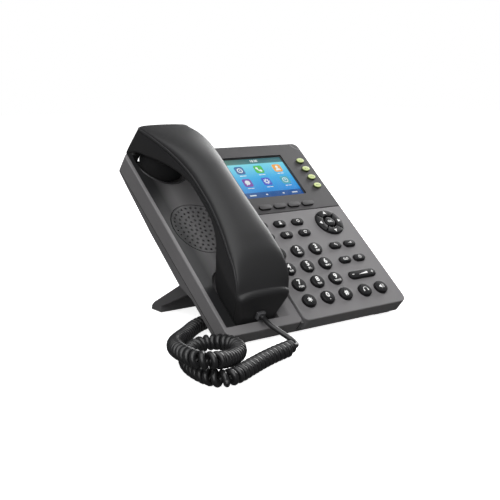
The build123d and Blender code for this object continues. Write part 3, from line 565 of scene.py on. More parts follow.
def drawn(centre, picture):
    """The outlines of a picture, given as drawing functions and what each one is told."""
    return [shape for draw, *values in picture for shape in draw(centre, *values)]


def icon_shapes(node):
    """The picture printed on a function key."""
    if node in NAV_ANGLE:
        turn = NAV_ANGLE[node]
        turned = [(x * cos(turn) - y * sin(turn), x * sin(turn) + y * cos(turn)) for x, y in NAV_POINTER]
        return polygon(NAV_CENTRE, turned)
    return drawn(CAPS[node][0], PICTURES[node])


for node in CAPS:
    if node == "key_ok":
        legend(node, [], [("OK", 3.4, (0.0, 0.0), 0.05)])
    elif not node.startswith(("key_soft_", "key_line_")) and node not in NUMBER_KEYS:
        legend(node, icon_shapes(node))
LINE_PICTURE = [(arc, (-1.0, 0.0), 0.55, 0.3, 0.0, 2 * pi, 12), (stroke, (0.3, 0.5), (2.2, 0.5), 0.25),
                (stroke, (0.3, -0.5), (2.2, -0.5), 0.25)]
for node in CAPS:
    if node.startswith("key_line_"):
        legend(node, drawn(CAPS[node][0], LINE_PICTURE), finish=LINE_SIDE)


# Display
glass = in_slab("display_lens")
SCREEN_LOW = glass.min(0)[:2] + 1.0
SCREEN_HIGH = glass.max(0)[:2] - 1.0
SCREEN_MIDDLE = (SCREEN_LOW + SCREEN_HIGH) / 2
SCREEN_Z = glass.min(0)[2] - 0.25
STATUS_HEIGHT = 6.4
SOFT_BAR_HEIGHT = 6.8


def screen_finish():
    """The display's picture: a status bar, a blue gradient and the soft keys' bar."""
    material, tree, principled = shader("screen_picture")
    height = slab_coordinate(tree, UP, SCREEN_LOW[1], SCREEN_HIGH[1])
    across = slab_coordinate(tree, (1, 0, 0), SCREEN_LOW[0], SCREEN_HIGH[0])
    whole = SCREEN_HIGH[1] - SCREEN_LOW[1]
    bar, status = SOFT_BAR_HEIGHT / whole, 1 - STATUS_HEIGHT / whole
    stops = [(0.0, (0.004, 0.07, 0.27)), (bar, (0.006, 0.10, 0.34)), (bar + 0.002, (0.012, 0.26, 0.72)),
             (0.5, (0.05, 0.46, 0.86)), (status - 0.002, (0.22, 0.76, 0.90)), (status, (0.08, 0.24, 0.25)),
             (1.0, (0.05, 0.16, 0.17))]
    picture = ramp(tree, height, stops)
    glow = ramp(tree, across, [(0.0, (0.06, 0.05, 0.01)), (0.45, (0.0, 0.0, 0.0)), (1.0, (0.0, 0.0, 0.02))])
    add = tree.nodes.new("ShaderNodeMix")
    add.data_type = "RGBA"
    add.blend_type = "ADD"
    add.inputs["Factor"].default_value = 1.0
    tree.links.new(picture, add.inputs["A"])
    tree.links.new(glow, add.inputs["B"])
    tree.links.new(add.outputs["Result"], principled.inputs["Emission Color"])
    principled.inputs["Emission Strength"].default_value = 1.0
    principled.inputs["Base Color"].default_value = (0.01, 0.01, 0.012, 1.0)
    principled.inputs["Roughness"].default_value = 0.25
    return material


def flat_glow(name, colour):
    """A lit colour on the display, a little brighter at its upper edge."""
    material, tree, principled = shader(name)
    height = slab_coordinate(tree, UP, SCREEN_LOW[1], SCREEN_HIGH[1])
    ends = [(0.0, [part * 0.8 for part in colour]), (1.0, [min(1, part * 1.15) for part in colour])]
    shade = ramp(tree, height, ends)
    tree.links.new(shade, principled.inputs["Emission Color"])
    principled.inputs["Emission Strength"].default_value = 1.0
    principled.inputs["Base Color"].default_value = (0.01, 0.01, 0.01, 1.0)
    return material


def plate(name, low, high, corner, bottom, top, finish):
    """A thin rounded plate on the display."""
    centre = ((low[0] + high[0]) / 2, (low[1] + high[1]) / 2)
    outline = rounded((high[0] - low[0], high[1] - low[1]), corner, centre, 32)
    return stack(name, outline, [(0, bottom), (0, top)], finish, "base")


plate("screen_picture", SCREEN_LOW, SCREEN_HIGH, 0.3, SCREEN_Z - 0.12, SCREEN_Z, screen_finish())
plate("screen_surround", SCREEN_LOW - 0.28, SCREEN_HIGH + 0.28, 0.4, SCREEN_Z - 0.3, SCREEN_Z - 0.13, BLACK)
ICON_SIZE = 9.6
ICON_GAP = 21.6
ICON_ROWS = (10.4, -5.2)
ICONS = [("clock", (0.03, 0.13, 0.34)), ("calls", (0.05, 0.50, 0.06)), ("people", (0.85, 0.38, 0.05)),
         ("messages", (0.20, 0.06, 0.42)), ("settings", (0.02, 0.08, 0.62)), ("time", (0.04, 0.42, 0.50))]
WHITE_GLOW = flat_glow("screen_white", (0.80, 0.92, 0.98))


def on_screen(name, shapes, finish):
    """White marks lying on the display's icons."""
    points, faces = [], []
    for outline in shapes:
        prism(points, faces, outline, SCREEN_Z + 0.13)
    piece(name, points, faces, finish, "base")


TEETH = [(cos(pi / 4 * index), sin(pi / 4 * index)) for index in range(8)]
ICON_PICTURES = {
    "clock": [(arc, (0, 0), 2.5, 1.0), (stroke, (0, -0.9), (0, 0.9), 0.9)],
    "calls": [(arc, (1.6, 1.6), 3.4, 1.5, pi, pi / 2, 8), (arc, (-1.7, 1.5), 0.7, 1.3),
              (arc, (1.6, -1.8), 0.7, 1.3)],
    "people": [(arc, (0, 1.5), 0.8, 1.5), (polygon, [(-2.9, -2.9), (2.9, -2.9), (1.6, -0.4), (-1.6, -0.4)])],
    "messages": [(arc, (0, 0.3), 1.4, 2.7), (polygon, [(-2.2, -3.2), (-0.2, -2.0), (-2.0, -0.9)])],
    "settings": [(arc, (0, 0), 1.8, 1.1)]
    + [(stroke, (2.0 * x, 2.0 * y), (3.3 * x, 3.3 * y), 0.9) for x, y in TEETH],
    "time": [(arc, (0, 0), 2.7, 0.7), (stroke, (0, 0), (0, 1.9), 0.6), (stroke, (0, 0), (1.4, 0), 0.6)],
}
CAPTION = [(stroke, (-3.6, -6.9), (-0.6, -6.9), 0.75), (stroke, (0.0, -6.9), (3.4, -6.9), 0.75)]
marks = []
for index, (kind, colour) in enumerate(ICONS):
    middle = (SCREEN_MIDDLE[0] + (index % 3 - 1) * ICON_GAP, SCREEN_MIDDLE[1] + ICON_ROWS[index // 3])
    half = ICON_SIZE / 2
    plate(f"icon_{kind}", (middle[0] - half, middle[1] - half), (middle[0] + half, middle[1] + half), 2.2,
          SCREEN_Z - 0.05, SCREEN_Z + 0.1, flat_glow(f"icon_{kind}", colour))
    marks += drawn(middle, ICON_PICTURES[kind] + CAPTION)
on_screen("icon_marks", marks, WHITE_GLOW)
bar_middle = SCREEN_LOW[1] + SOFT_BAR_HEIGHT / 2
soft_marks = []
for left, right in ((-28, -21), (-10, -8), (9, 11), (20, 26)):
    soft_marks += stroke((SCREEN_MIDDLE[0], bar_middle), (left, 0), (right, 0), 1.3)
on_screen("soft_bar_marks", soft_marks, WHITE_GLOW)
clock_points, clock_faces = lettering("10:30", 4.0, (SCREEN_MIDDLE[0], SCREEN_HIGH[1] - STATUS_HEIGHT / 2),
                                      SCREEN_Z + 0.1, 0.04)
piece("status_time", clock_points, clock_faces, WHITE_GLOW, "base")


# Handset
CRADLE_X = float(in_slab("handset_jack")[:, 0].min() + in_slab("handset_jack")[:, 0].max()) / 2
CROWN = [(0, 8), (17, 23.5), (27, 32.5), (40, 40.3), (56, 44.6), (78, 47.2), (104, 48.7), (128, 49.2),
         (150, 47.3), (168, 42.4), (186, 35.0), (202, 26.3), (214, 18.5)]
GIRTH = [(0, 50), (27, 50), (40, 48.4), (56, 44.4), (78, 38.6), (104, 35.2), (128, 35.6), (150, 40.2),
         (168, 45.6), (186, 49.4), (202, 50), (214, 50)]
BELLY = [(9.6, -8), (44, -8), (50, -5.2), (53.6, 1), (56, 9.5), (61.5, 20), (70, 27.5), (80, 31.5),
         (104, 33.5), (134, 32), (152, 26), (168, 18.5), (180, 11.5), (190, 5.5), (198.5, -1.0),
         (207.8, -12.6)]
SEAM = [(12, 16), (18.6, 17), (24, 25), (33, 31.5), (52, 36.2), (78, 39.4), (110, 40.5), (140, 39.2),
        (163, 35.6), (184, 29.6), (203.5, 21.5), (222, 13)]
WIDEST = 25.0               # half the handset's width at both its ends
END_FOOT = 9.6              # where the mouthpiece's end stands, and how far it leans
END_LEAN = radians(15.6)
END_SKIRT = 14.6            # the back shell reaches this far under the end
EAR_CORNER = 203.49         # where the ear end starts to round off, seen from above
EAR_CORNER_RADIUS = 5.0
MOUTH_EDGE = 4.6            # rounding of the edges of the mouthpiece's end
EDGE = 2.2                  # and of the ear's
DRAFT_KNEE = 20.0           # below this the mouthpiece's cheeks draw in
DRAFT_SLOPE = 0.25
DRAFT_END = 61.0
FOOT_ROUND = 2.0            # rounding of the edges along the belly
BAND = 1.15                 # half width of the rim along the seam
GAP = 0.32                  # shadow gap each side of it
TUCK = 1.0                  # how far an edge turns into a gap
HOLE_HALF = (5.6, 4.6)      # the cord socket's opening, each way from its middle
HOLE_DEPTH = 3.0            # how far the looks follow it in
MOUTH_FAN = 44.0            # sections lean with the mouthpiece's end up to here
EAR_FAN = 185.0             # and with the ear's end from here
HALF_POINTS = 40
EDGE_STEPS = 6
RIM_STEPS = 18              # of the rim's turn round the ear


def smooth(points):
    """A smooth function through (position, value) points."""
    x = np.array([point[0] for point in points], float)
    y = np.array([point[1] for point in points], float)
    rise = np.gradient(y, x)
    for index in range(1, len(x) - 1):
        if (y[index] - y[index - 1]) * (y[index + 1] - y[index]) <= 0:
            rise[index] = 0.0

    def value(place):
        index = int(np.clip(np.searchsorted(x, place) - 1, 0, len(x) - 2))
        width = x[index + 1] - x[index]
        t = min(max((place - x[index]) / width, 0.0), 1.0)
        return ((2 * t ** 3 - 3 * t ** 2 + 1) * y[index] + (t ** 3 - 2 * t ** 2 + t) * width * rise[index]
                + (3 * t ** 2 - 2 * t ** 3) * y[index + 1] + (t ** 3 - t ** 2) * width * rise[index + 1])
    return value


crown, girth, belly, seam = smooth(CROWN), smooth(GIRTH), smooth(BELLY), smooth(SEAM)
END_TOP = 15.95             # how far up the face the mouthpiece's end meets the crown
EAR_TOP = 203.1
EAR_FOOT = 207.8
arch_power = smooth([(0, 2.7), (40, 2.6), (110, 2.3), (215, 2.05)])      # 2 for an ellipse over the back


class Section:
    """One slice through the handset, from its belly to its crown."""

    def __init__(self, foot):
        self.foot = foot
        if foot < MOUTH_FAN:
            top = END_TOP + (foot - END_FOOT) * (MOUTH_FAN - END_TOP) / (MOUTH_FAN - END_FOOT)
        elif foot > EAR_FAN:
            top = EAR_FAN + (foot - EAR_FAN) * (EAR_TOP - EAR_FAN) / (EAR_FOOT - EAR_FAN)
        else:
            top = foot
        self.low = Vector((foot, belly(foot)))
        self.high = Vector((top, crown(top)))
        self.height = (self.high - self.low).length
        self.along = (self.high - self.low) / self.height
        self.seam = self.find_seam()
        self.arch = arch_power(top)

    def find_seam(self):
        """How high up the slice the seam crosses it."""
        low, high = 0.0, self.height
        for _ in range(30):
            middle = (low + high) / 2
            point = self.low + self.along * middle
            if point.y < seam(point.x):
                low = middle
            else:
                high = middle
        return min(max(middle, 4.0), self.height - 3.6)

    def point(self, x, up, shift=0.0):
        """A point of the slice in the slab frame; the foot of the end stands upright."""
        place = self.low + self.along * up
        distance = max(place.x, END_FOOT) if place.y < 0 and self.foot < MOUTH_FAN else place.x
        distance += shift
        side = x
        if distance > EAR_CORNER:
            into = min(distance - EAR_CORNER, EAR_CORNER_RADIUS - 0.5)
            lost = EAR_CORNER_RADIUS - sqrt(EAR_CORNER_RADIUS ** 2 - into ** 2)
            side = x * (WIDEST - lost) / WIDEST
        return (CRADLE_X + side, distance, place.y)

    def half(self, up):
        """Half the width at a height up the slice, with its rounded foot and its arch above the seam."""
        place = self.low + self.along * up
        half = girth(place.x) / 2
        if place.x < DRAFT_END and place.y < DRAFT_KNEE:
            half -= DRAFT_SLOPE * (DRAFT_KNEE - place.y)
        if up < FOOT_ROUND:
            half -= FOOT_ROUND - sqrt(FOOT_ROUND ** 2 - (FOOT_ROUND - up) ** 2)
        rise = min(max(up - self.seam, 0.0) / (self.height - self.seam), 1.0)
        return half * (1 - rise ** self.arch) ** (1 / self.arch)

    def upper(self, start, count=HALF_POINTS):
        """(across, up) points from the seam's side over to the crown's middle."""
        side = self.half(start)
        rise = self.height - start
        turns = np.linspace(0, pi / 2, 120)
        bend = 2 / self.arch
        line = [(side * max(cos(turn), 0.0) ** bend, start + rise * sin(turn) ** bend) for turn in turns]
        return even(line, count)

    def lower(self, end, count=HALF_POINTS):
        """(across, up) points from the belly's middle out and up to the seam."""
        edge = self.half(0.0)
        line = [(edge * t, 0.0) for t in np.linspace(0, 0.98, 30)]
        line += [(self.half(up), up) for up in np.linspace(0.0, end, 160)]
        return even(line, count)


def even(line, count):
    """Points spaced evenly along a polyline."""
    line = np.array(line, float)
    steps = np.concatenate([[0], np.cumsum(np.hypot(*np.diff(line, axis=0).T))])
    wanted = np.linspace(0, steps[-1], count)
    return [(float(np.interp(s, steps, line[:, 0])), float(np.interp(s, steps, line[:, 1]))) for s in wanted]


FEET = ([END_FOOT + MOUTH_EDGE + (END_SKIRT - END_FOOT - MOUTH_EDGE) * t for t in (0.0, 0.5)]
        + [END_SKIRT + (MOUTH_FAN - END_SKIRT) * t for t in np.linspace(0, 1, 22)]
        + list(np.linspace(MOUTH_FAN, 62, 27)[1:]) + list(np.linspace(62, 80, 14)[1:])
        + list(np.linspace(80, EAR_FAN, 44)[1:])
        + list(np.linspace(EAR_FAN, EAR_FOOT - EDGE, 14)[1:]))
SECTIONS = [Section(foot) for foot in FEET]
SKIRT_SECTIONS = 3          # the slices in the end skirt
END_OUT = Vector((-cos(END_LEAN), sin(END_LEAN)))


def build_back_shell():
    """The handset's outer shell: the arched top, the ear's tip and the mouthpiece's end with its socket."""
    edge_up = SECTIONS[SKIRT_SECTIONS - 1].seam + BAND + GAP
    points, faces = [], []

    def add(rows, closed=False):
        """Joins a grid of slab points to the shell."""
        start = len(points)
        for row in rows:
            points.extend(row)
        grid = quads(len(rows), len(rows[0]), closed)
        faces.extend(tuple(start + index for index in face) for face in grid)

    def arch(section):
        """The line over the top of one slice."""
        start = edge_up if section in SECTIONS[:SKIRT_SECTIONS] else section.seam + BAND + GAP
        half_line = section.upper(start)
        return [(-x, up) for x, up in half_line] + half_line[-2::-1]

    def skirt(section):
        """The line under the end of one slice, from right to left."""
        half_line = section.lower(edge_up)
        return half_line[::-1] + [(-x, up) for x, up in half_line[1:]]

    first = SECTIONS[0]
    ring = arch(first) + skirt(first)[1:-1]
    middle_up = first.height / 2
    end_rows = []
    for step in range(6):
        angle = pi / 2 * (1 - step / 5)
        depth = MOUTH_EDGE * (1 - cos(angle))
        out = MOUTH_EDGE * sin(angle)
        row = []
        for x, up in ring:
            place = first.point(x * (1 - depth / WIDEST), up + (middle_up - up) * depth / middle_up)
            way = Vector((-1, 0)) if place[2] < 0 else END_OUT
            row.append((place[0], place[1] + way.x * out, place[2] + way.y * out))
        end_rows.append(row)
    jack = in_slab("handset_jack")
    jack_up = float(np.dot([jack[:, 1].mean() - first.low.x, jack[:, 2].mean() - first.low.y], first.along))
    hole = []
    for x, up in ring:
        angle = atan2(up - jack_up, x)
        reach = min(HOLE_HALF[0] / max(abs(cos(angle)), 1e-6), HOLE_HALF[1] / max(abs(sin(angle)), 1e-6))
        hole.append((reach * cos(angle), jack_up + reach * sin(angle)))
    cap_rows = []
    for share in (1.0, 0.97, 0.5, 0.03, 0.0):
        row = []
        for (x, up), rim in zip(hole, end_rows[0]):
            place = first.point(x, up)
            flat = (place[0], place[1] + END_OUT.x * MOUTH_EDGE, place[2] + END_OUT.y * MOUTH_EDGE)
            row.append(tuple(a * (1 - share) + b * share for a, b in zip(rim, flat)))
        cap_rows.append(row)
    deep = [(x, y - END_OUT.x * HOLE_DEPTH, z - END_OUT.y * HOLE_DEPTH) for x, y, z in cap_rows[0]]
    add(end_rows, closed=True)
    cap = [deep] + cap_rows
    piece("handset_end", [place for row in cap for place in row], quads(len(cap), len(ring), closed=True),
          HANDSET, "handset", sharp=9)
    add([[section.point(x, up) for x, up in arch(section) + skirt(section)[1:-1]]
         for section in SECTIONS[:2]], closed=True)
    under = [[section.point(x, up) for x, up in skirt(section)] for section in SECTIONS[1:SKIRT_SECTIONS]]
    last = SECTIONS[SKIRT_SECTIONS - 1]
    for depth, shift in ((0.12, 0.1), (TUCK, 0.1)):
        line = [(x * (1 - depth / WIDEST), up + depth * max(0.0, 1 - up / 4)) for x, up in skirt(last)]
        under.append([last.point(x, up, shift) for x, up in line])
    add(under)
    rows = [[section.point(x, up) for x, up in arch(section)] for section in SECTIONS[1:]]
    tail = SECTIONS[-1]
    tail_edge = tail.seam + BAND + GAP
    rows += ear_rows(tail, arch(tail), tail_edge, -1)
    add(rows)
    for side in (0, -1):
        add(tucked(rows[SKIRT_SECTIONS - 2:len(SECTIONS) - 1], side))
    shell = piece("handset_back", points, faces, HANDSET, "handset", sharp=50)
    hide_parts("handset_back_shell")


def tucked(rows, side):
    """A strip along one side of a shell's rows, turned in under the rim."""
    strip = []
    for row in rows:
        x, y, z = row[side]
        strip.append([row[side], (CRADLE_X + (x - CRADLE_X) * (1 - TUCK / 20), y, z)])
    return strip


def ear_rows(section, line, edge_up, toward):
    """The ear's rounded end and its flat face, from one slice's line; toward says which way the seam lies."""
    rows = []
    out_way = Vector((section.along.y, -section.along.x))
    wide = max(abs(x) for x, _ in line)
    far = max(abs(up - edge_up) for _, up in line)
    for step in range(1, EDGE_STEPS + 1):
        angle = pi / 2 * step / EDGE_STEPS
        depth, out = EDGE * (1 - cos(angle)), EDGE * sin(angle)
        row = []
        for x, up in line:
            moved = up + toward * depth * abs(up - edge_up) / far
            place = section.point(x * (1 - depth / wide), moved)
            row.append((place[0], place[1] + out_way.x * out, place[2] + out_way.y * out))
        rows.append(row)
    flat = rows[-1]
    base = section.point(0, edge_up)
    level = (base[1] + out_way.x * EDGE, base[2] + out_way.y * EDGE)
    for share in (0.04, 0.5, 1.0):
        rows.append([(x, y + (level[0] - y) * share, z + (level[1] - z) * share) for x, y, z in flat])
    return rows


def build_front_shell():
    """The handset's inner shell: both cheeks, the belly of the grip and the mouthpiece."""
    sections = SECTIONS[SKIRT_SECTIONS - 1:]
    rows = []

    def trough_line(section):
        """The line under one slice, from left to right."""
        half_line = section.lower(section.seam - BAND - GAP)
        return [(-x, up) for x, up in reversed(half_line)] + half_line[1:]

    first = sections[0]
    line = trough_line(first)
    for depth, shift in ((TUCK, 0.42), (0.12, 0.42)):
        turned = [(x * (1 - depth / WIDEST), up + depth * max(0.0, 1 - up / 4)) for x, up in line]
        rows.append([first.point(x, up, shift) for x, up in turned])
    rows.append([first.point(x, up, 0.55) for x, up in line])
    rows += [[section.point(x, up) for x, up in trough_line(section)] for section in sections[1:]]
    tail = sections[-1]
    rows += ear_rows(tail, trough_line(tail), tail.seam - BAND - GAP, 1)
    points = [point for row in rows for point in row]
    faces = quads(len(rows), len(rows[0]))
    for side in (0, -1):
        start = len(points)
        strip = tucked(rows, side)
        points += [point for edge in strip for point in edge]
        faces += [tuple(start + index for index in face) for face in quads(len(strip), 2)]
    shell = piece("handset_front", points, faces, HANDSET, "handset", sharp=50)
    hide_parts("handset_front_shell")


def build_rim():
    """The narrow bead that runs along the seam between the two shells, and round the ear."""
    sections = SECTIONS[SKIRT_SECTIONS - 1:]
    profile = [(-1.6, -BAND - 1.0), (-1.6, -BAND - 0.05), (-0.2, -BAND), (0.0, -BAND + 0.25), (0.06, 0.0),
               (0.0, BAND - 0.25), (-0.2, BAND), (-1.6, BAND + 0.05), (-1.6, BAND + 1.0)]

    def along_side(section, side):
        """The rim's profile at one slice, on one side."""
        half = section.half(section.seam)
        slope = section.half(section.seam + 0.5) - section.half(section.seam - 0.5)
        return [section.point(side * (half + out + slope * up), section.seam + up) for out, up in profile]

    tail = sections[-1]
    way = Vector((tail.along.y, -tail.along.x))
    half = tail.half(tail.seam)
    rows = [along_side(section, -1) for section in sections]
    for step in range(RIM_STEPS + 1):
        turn = pi * step / RIM_STEPS
        across = -half * copysign(min(1.0, abs(cos(turn)) ** 0.35), cos(turn))
        forward = EDGE * min(1.0, sin(turn) ** 0.5 * 1.25) if 0 < step < RIM_STEPS else 0.0
        row = []
        for out, up in profile:
            place = tail.point(across * (1 + out / half), tail.seam + up)
            reach = forward + (out if 2 < step < RIM_STEPS - 2 else 0)
            row.append((place[0], place[1] + way.x * reach, place[2] + way.y * reach))
        rows.append(row)
    rows += [along_side(section, 1) for section in reversed(sections)]
    points = [point for row in rows for point in row]
    faces = quads(len(rows), len(profile))
    piece("handset_rim", points, faces, RIM, "handset", sharp=60)


build_back_shell()
build_front_shell()
build_rim()


def earpiece():
    """The round earpiece under the ear end, with its sound holes."""
    centre = (CRADLE_X, 186.0)
    profile = [(1.2, 12.0), (0.0, 11.0), (0.0, -5.0)]
    profile += [(1.6 * (1 - cos(pi / 2 * t / 5)), -5.0 - 1.6 * sin(pi / 2 * t / 5)) for t in range(1, 6)]
    profile += [(4.5, -6.6), (5.0, -6.2), (9.0, -5.7)]
    stack("handset_earpiece", rounded((40, 40), 19.98, centre, 64), profile, HANDSET, "handset")
    # The sound holes are black discs of painted shade.
    points, faces = [], []
    for ring, count in ((0, 1), (4.0, 6), (8.0, 12)):
        for index in range(count):
            angle = 2 * pi * index / count
            middle = (centre[0] + ring * cos(angle), centre[1] + ring * sin(angle))
            outline = ellipse((1.6, 1.6), middle, 12)(0.0)
            start = len(points)
            points += [(x, y, height) for height in (-5.76, -5.4) for x, y in outline]
            faces += [tuple(range(start, start + 12)), tuple(range(start + 12, start + 24))]
            faces += [tuple(start + k for k in face) for face in quads(2, 12, closed=True)]
    piece("handset_earpiece_holes", points, faces, PAINTED_SHADE_BLACK, "handset")
    # The microphone hole too is a black disc of painted shade.
    outline = rounded((2.4, 2.4), 1.19, (CRADLE_X, 34.0), 20)
    stack("handset_microphone_hole", outline, [(0, -8.04), (0, -7.8)], PAINTED_SHADE_BLACK, "handset")


earpiece()


# Plugs of the handset's cord
JACK_Z = 4.4                # height of the socket's middle in the end face
JACK_FRAME = (SLAB @ Matrix.Translation((CRADLE_X, END_FOOT + JACK_Z * tan(END_LEAN), JACK_Z))
              @ Matrix.Rotation(pi / 2 - END_LEAN, 4, "X"))


def build_plug(name, matrix, body, node):
    """A clear four-way modular plug: its body, its latch, its gold blades and the crimp round the cord."""
    block = [(0.5, -11.0), (0.0, -10.5), (0.0, 1.2), (0.5, 1.8), (1.3, 2.2)]
    stack(name, rounded((7.6, 6.3), 0.7), block, SMOKED, body, matrix=matrix)
    latch = matrix @ Matrix.Translation((0, -4.1, 0)) @ Matrix.Rotation(radians(-9), 4, "X")
    tongue = [(0.2, -9.0), (0.0, -8.8), (0.0, 3.6), (0.25, 3.9)]
    stack(name + "_latch", rounded((3.4, 0.9), 0.35), tongue, SMOKED, body, matrix=latch)
    stack(name + "_crimp", rounded((5.2, 4.4), 1.4), [(0.0, 2.0), (0.0, 3.2), (0.4, 3.7)], BLACK, body,
          matrix=matrix)
    points, faces = [], []
    for index in range(4):
        across = 1.27 * (index - 1.5)
        start = len(points)
        low, high = (across - 0.2, 2.9, -10.6), (across + 0.2, 3.22, -6.6)
        points += product(*zip(low, high))
        faces += [tuple(start + k for k in face) for face in
                  ((0, 1, 3, 2), (4, 6, 7, 5), (0, 4, 5, 1), (2, 3, 7, 6), (0, 2, 6, 4), (1, 5, 7, 3))]
    piece(name + "_blades", points, faces, GOLD, body, matrix=matrix)
    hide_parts(node)


build_plug("plug_at_handset", JACK_FRAME, "handset", "cord_plug_handset")


# Cord: its route through the table frame, in metres, from the handset to the pocket under the base
LEAD_HANDSET = [(-0.061, -0.080042, 0.020643), (-0.061, -0.08735, 0.017389), (-0.059, -0.0945, 0.0143),
                (-0.056, -0.1012, 0.0108), (-0.0536, -0.1075, 0.0076), (-0.0552, -0.11385, 0.0063),
                (-0.061, -0.1154, 0.0063)]
CURL = [(-0.073, -0.1186, 0.0063), (-0.088, -0.1232, 0.0063), (-0.102, -0.1289, 0.0063),
        (-0.1155, -0.1351, 0.0063), (-0.129, -0.1418, 0.0063), (-0.1413, -0.1442, 0.0063),
        (-0.148, -0.1368, 0.0063), (-0.1484, -0.124, 0.0063), (-0.1468, -0.111, 0.0063),
        (-0.1421, -0.0978, 0.0063), (-0.1332, -0.0854, 0.0063), (-0.1226, -0.0744, 0.0063),
        (-0.112, -0.0696, 0.0066), (-0.1046, -0.0736, 0.008), (-0.1019, -0.082, 0.0096),
        (-0.0996, -0.092, 0.0104), (-0.101, -0.102, 0.0106), (-0.1086, -0.114, 0.011),
        (-0.1216, -0.1256, 0.0127), (-0.1344, -0.1346, 0.016), (-0.1466, -0.1424, 0.0194),
        (-0.1564, -0.1398, 0.0206), (-0.1589, -0.1274, 0.0206), (-0.157, -0.1134, 0.0202),
        (-0.1516, -0.0994, 0.018), (-0.1432, -0.0844, 0.0152), (-0.1324, -0.0686, 0.0116),
        (-0.1196, -0.0556, 0.0096), (-0.106, -0.0426, 0.0074), (-0.0886, -0.0266, 0.0063),
        (-0.072, -0.0188, 0.0063)]
LEAD_BASE = [(-0.0566, -0.01155, 0.0063), (-0.043, -0.0155, 0.0056), (-0.031, -0.020, 0.007),
             (-0.020, -0.024, 0.011), (-0.0115, -0.027, 0.0168), (-0.006, -0.0285, 0.024),
             (-0.0033, -0.0283, 0.0315), (-0.003, -0.0265, 0.03836), (-0.003, -0.0215, 0.0425)]
WIRE = 0.0042
COIL_RADIUS = 0.0041        # of the wire's centreline round the route
TURNS = 80
POINTS_PER_TURN = 18
RAMP_TURNS = 0.75           # turns over which the wire winds out from the lead to its full radius
STRETCHED_TO = 5            # the cord is cut in two at this point of CURL, the far piece riding on the base


def spline_line(points):
    """The points of a smooth line that has the given control points."""
    curve = bpy.data.curves.new("route", "CURVE")
    curve.dimensions = "3D"
    curve.resolution_u = 24
    spline = curve.splines.new("NURBS")
    spline.points.add(len(points) - 1)
    for control, place in zip(spline.points, points):
        control.co = (*place, 1.0)
    spline.order_u = 3
    spline.use_endpoint_u = True
    holder = bpy.data.objects.new("route", curve)
    mesh = bpy.data.meshes.new_from_object(holder)
    line = np.array([vertex.co for vertex in mesh.vertices], float)
    bpy.data.objects.remove(holder)
    bpy.data.curves.remove(curve)
    bpy.data.meshes.remove(mesh)
    return line


def along(line):
    """Distance along a line at each of its points."""
    return np.concatenate([[0.0], np.cumsum(np.linalg.norm(np.diff(line, axis=0), axis=1))])


def carried_frames(line):
    """Two directions across a line at each point, carried along it without twist."""
    ways = np.gradient(line, axis=0)
    ways /= np.linalg.norm(ways, axis=1)[:, None]
    side = np.cross(ways[0], (0.0, 0.0, 1.0))
    sides = []
    for way in ways:
        side = side - way * np.dot(side, way)
        side /= np.linalg.norm(side)
        sides.append(side)
    sides = np.array(sides)
    return sides, np.cross(ways, sides)


def tube_mesh(name, line, width, finish, ring=12):
    """A round tube along a line, with closed ends, standing on its own."""
    sides, rises = carried_frames(line)
    points, faces = [], []
    for place, side, rise in zip(line, sides, rises):
        for index in range(ring):
            angle = 2 * pi * index / ring
            points.append(place + width / 2 * (cos(angle) * side + sin(angle) * rise))
    faces = quads(len(line), ring, closed=True)
    faces.append(tuple(range(ring)))
    faces.append(tuple(range((len(line) - 1) * ring, len(line) * ring)))
    mesh = bpy.data.meshes.new(name)
    mesh.from_pydata([tuple(point) for point in points], [], faces)
    mesh.materials.append(finish)
    mesh.polygons.foreach_set("use_smooth", [True] * len(mesh.polygons))
    made = bpy.data.objects.new(name, mesh)
    SCENE.collection.objects.link(made)
    return made


def nearest(line, point):
    """The index of the line's point nearest to a place."""
    return int(np.argmin(np.linalg.norm(line - np.array(point), axis=1)))


route = spline_line(LEAD_HANDSET + CURL + LEAD_BASE)
distance = along(route)
curl_start = distance[nearest(route, LEAD_HANDSET[-1])]
curl_end = distance[nearest(route, CURL[-1])]
pitch = (curl_end - curl_start) / TURNS
steps = np.concatenate([np.linspace(0, curl_start, 40, endpoint=False),
                        np.linspace(curl_start, curl_end, TURNS * POINTS_PER_TURN, endpoint=False),
                        np.linspace(curl_end, distance[-1], 50)])
centre_line = np.array([np.interp(steps, distance, route[:, axis]) for axis in range(3)]).T
sides, rises = carried_frames(centre_line)
turn = (steps - curl_start) / pitch
wind = np.clip(np.minimum(turn, TURNS - turn) / RAMP_TURNS, 0.0, 1.0)
wind = (wind * wind * (3 - 2 * wind))[:, None] * COIL_RADIUS
phase = (2 * pi * turn)[:, None]
wire_line = centre_line + wind * (np.cos(phase) * sides + np.sin(phase) * rises)
wire_line[:, 2] = np.maximum(wire_line[:, 2], WIRE / 2 + 0.0001)
split = int(np.searchsorted(steps, distance[nearest(route, CURL[STRETCHED_TO])]))
near_line, far_line = wire_line[:split + 1], wire_line[split:]

near_cord = tube_mesh("cord_at_handset", near_line, WIRE, VINYL)
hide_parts("cord_leads")
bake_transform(near_cord)
far_cord = tube_mesh("cord_at_base", far_line, WIRE, VINYL)
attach(far_cord, "base")
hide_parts("cord_curl")


# Details of the base


def swept(name, line, profile, finish, closed=False, body="base"):
    """A strip of constant section along (place, outward, upward) steps in the slab frame."""
    rows = []
    for place, outward, upward in line:
        rows.append([tuple(place[k] + outward[k] * a + upward[k] * b for k in range(3)) for a, b in profile])
    if closed:
        rows.append(rows[0])
    points = [point for row in rows for point in row]
    faces = quads(len(rows), len(profile), closed=True)
    if not closed:
        count = len(profile)
        faces += [tuple(range(count)), tuple(range(len(points) - count, len(points)))]
    return piece(name, points, faces, finish, body, sharp=60)


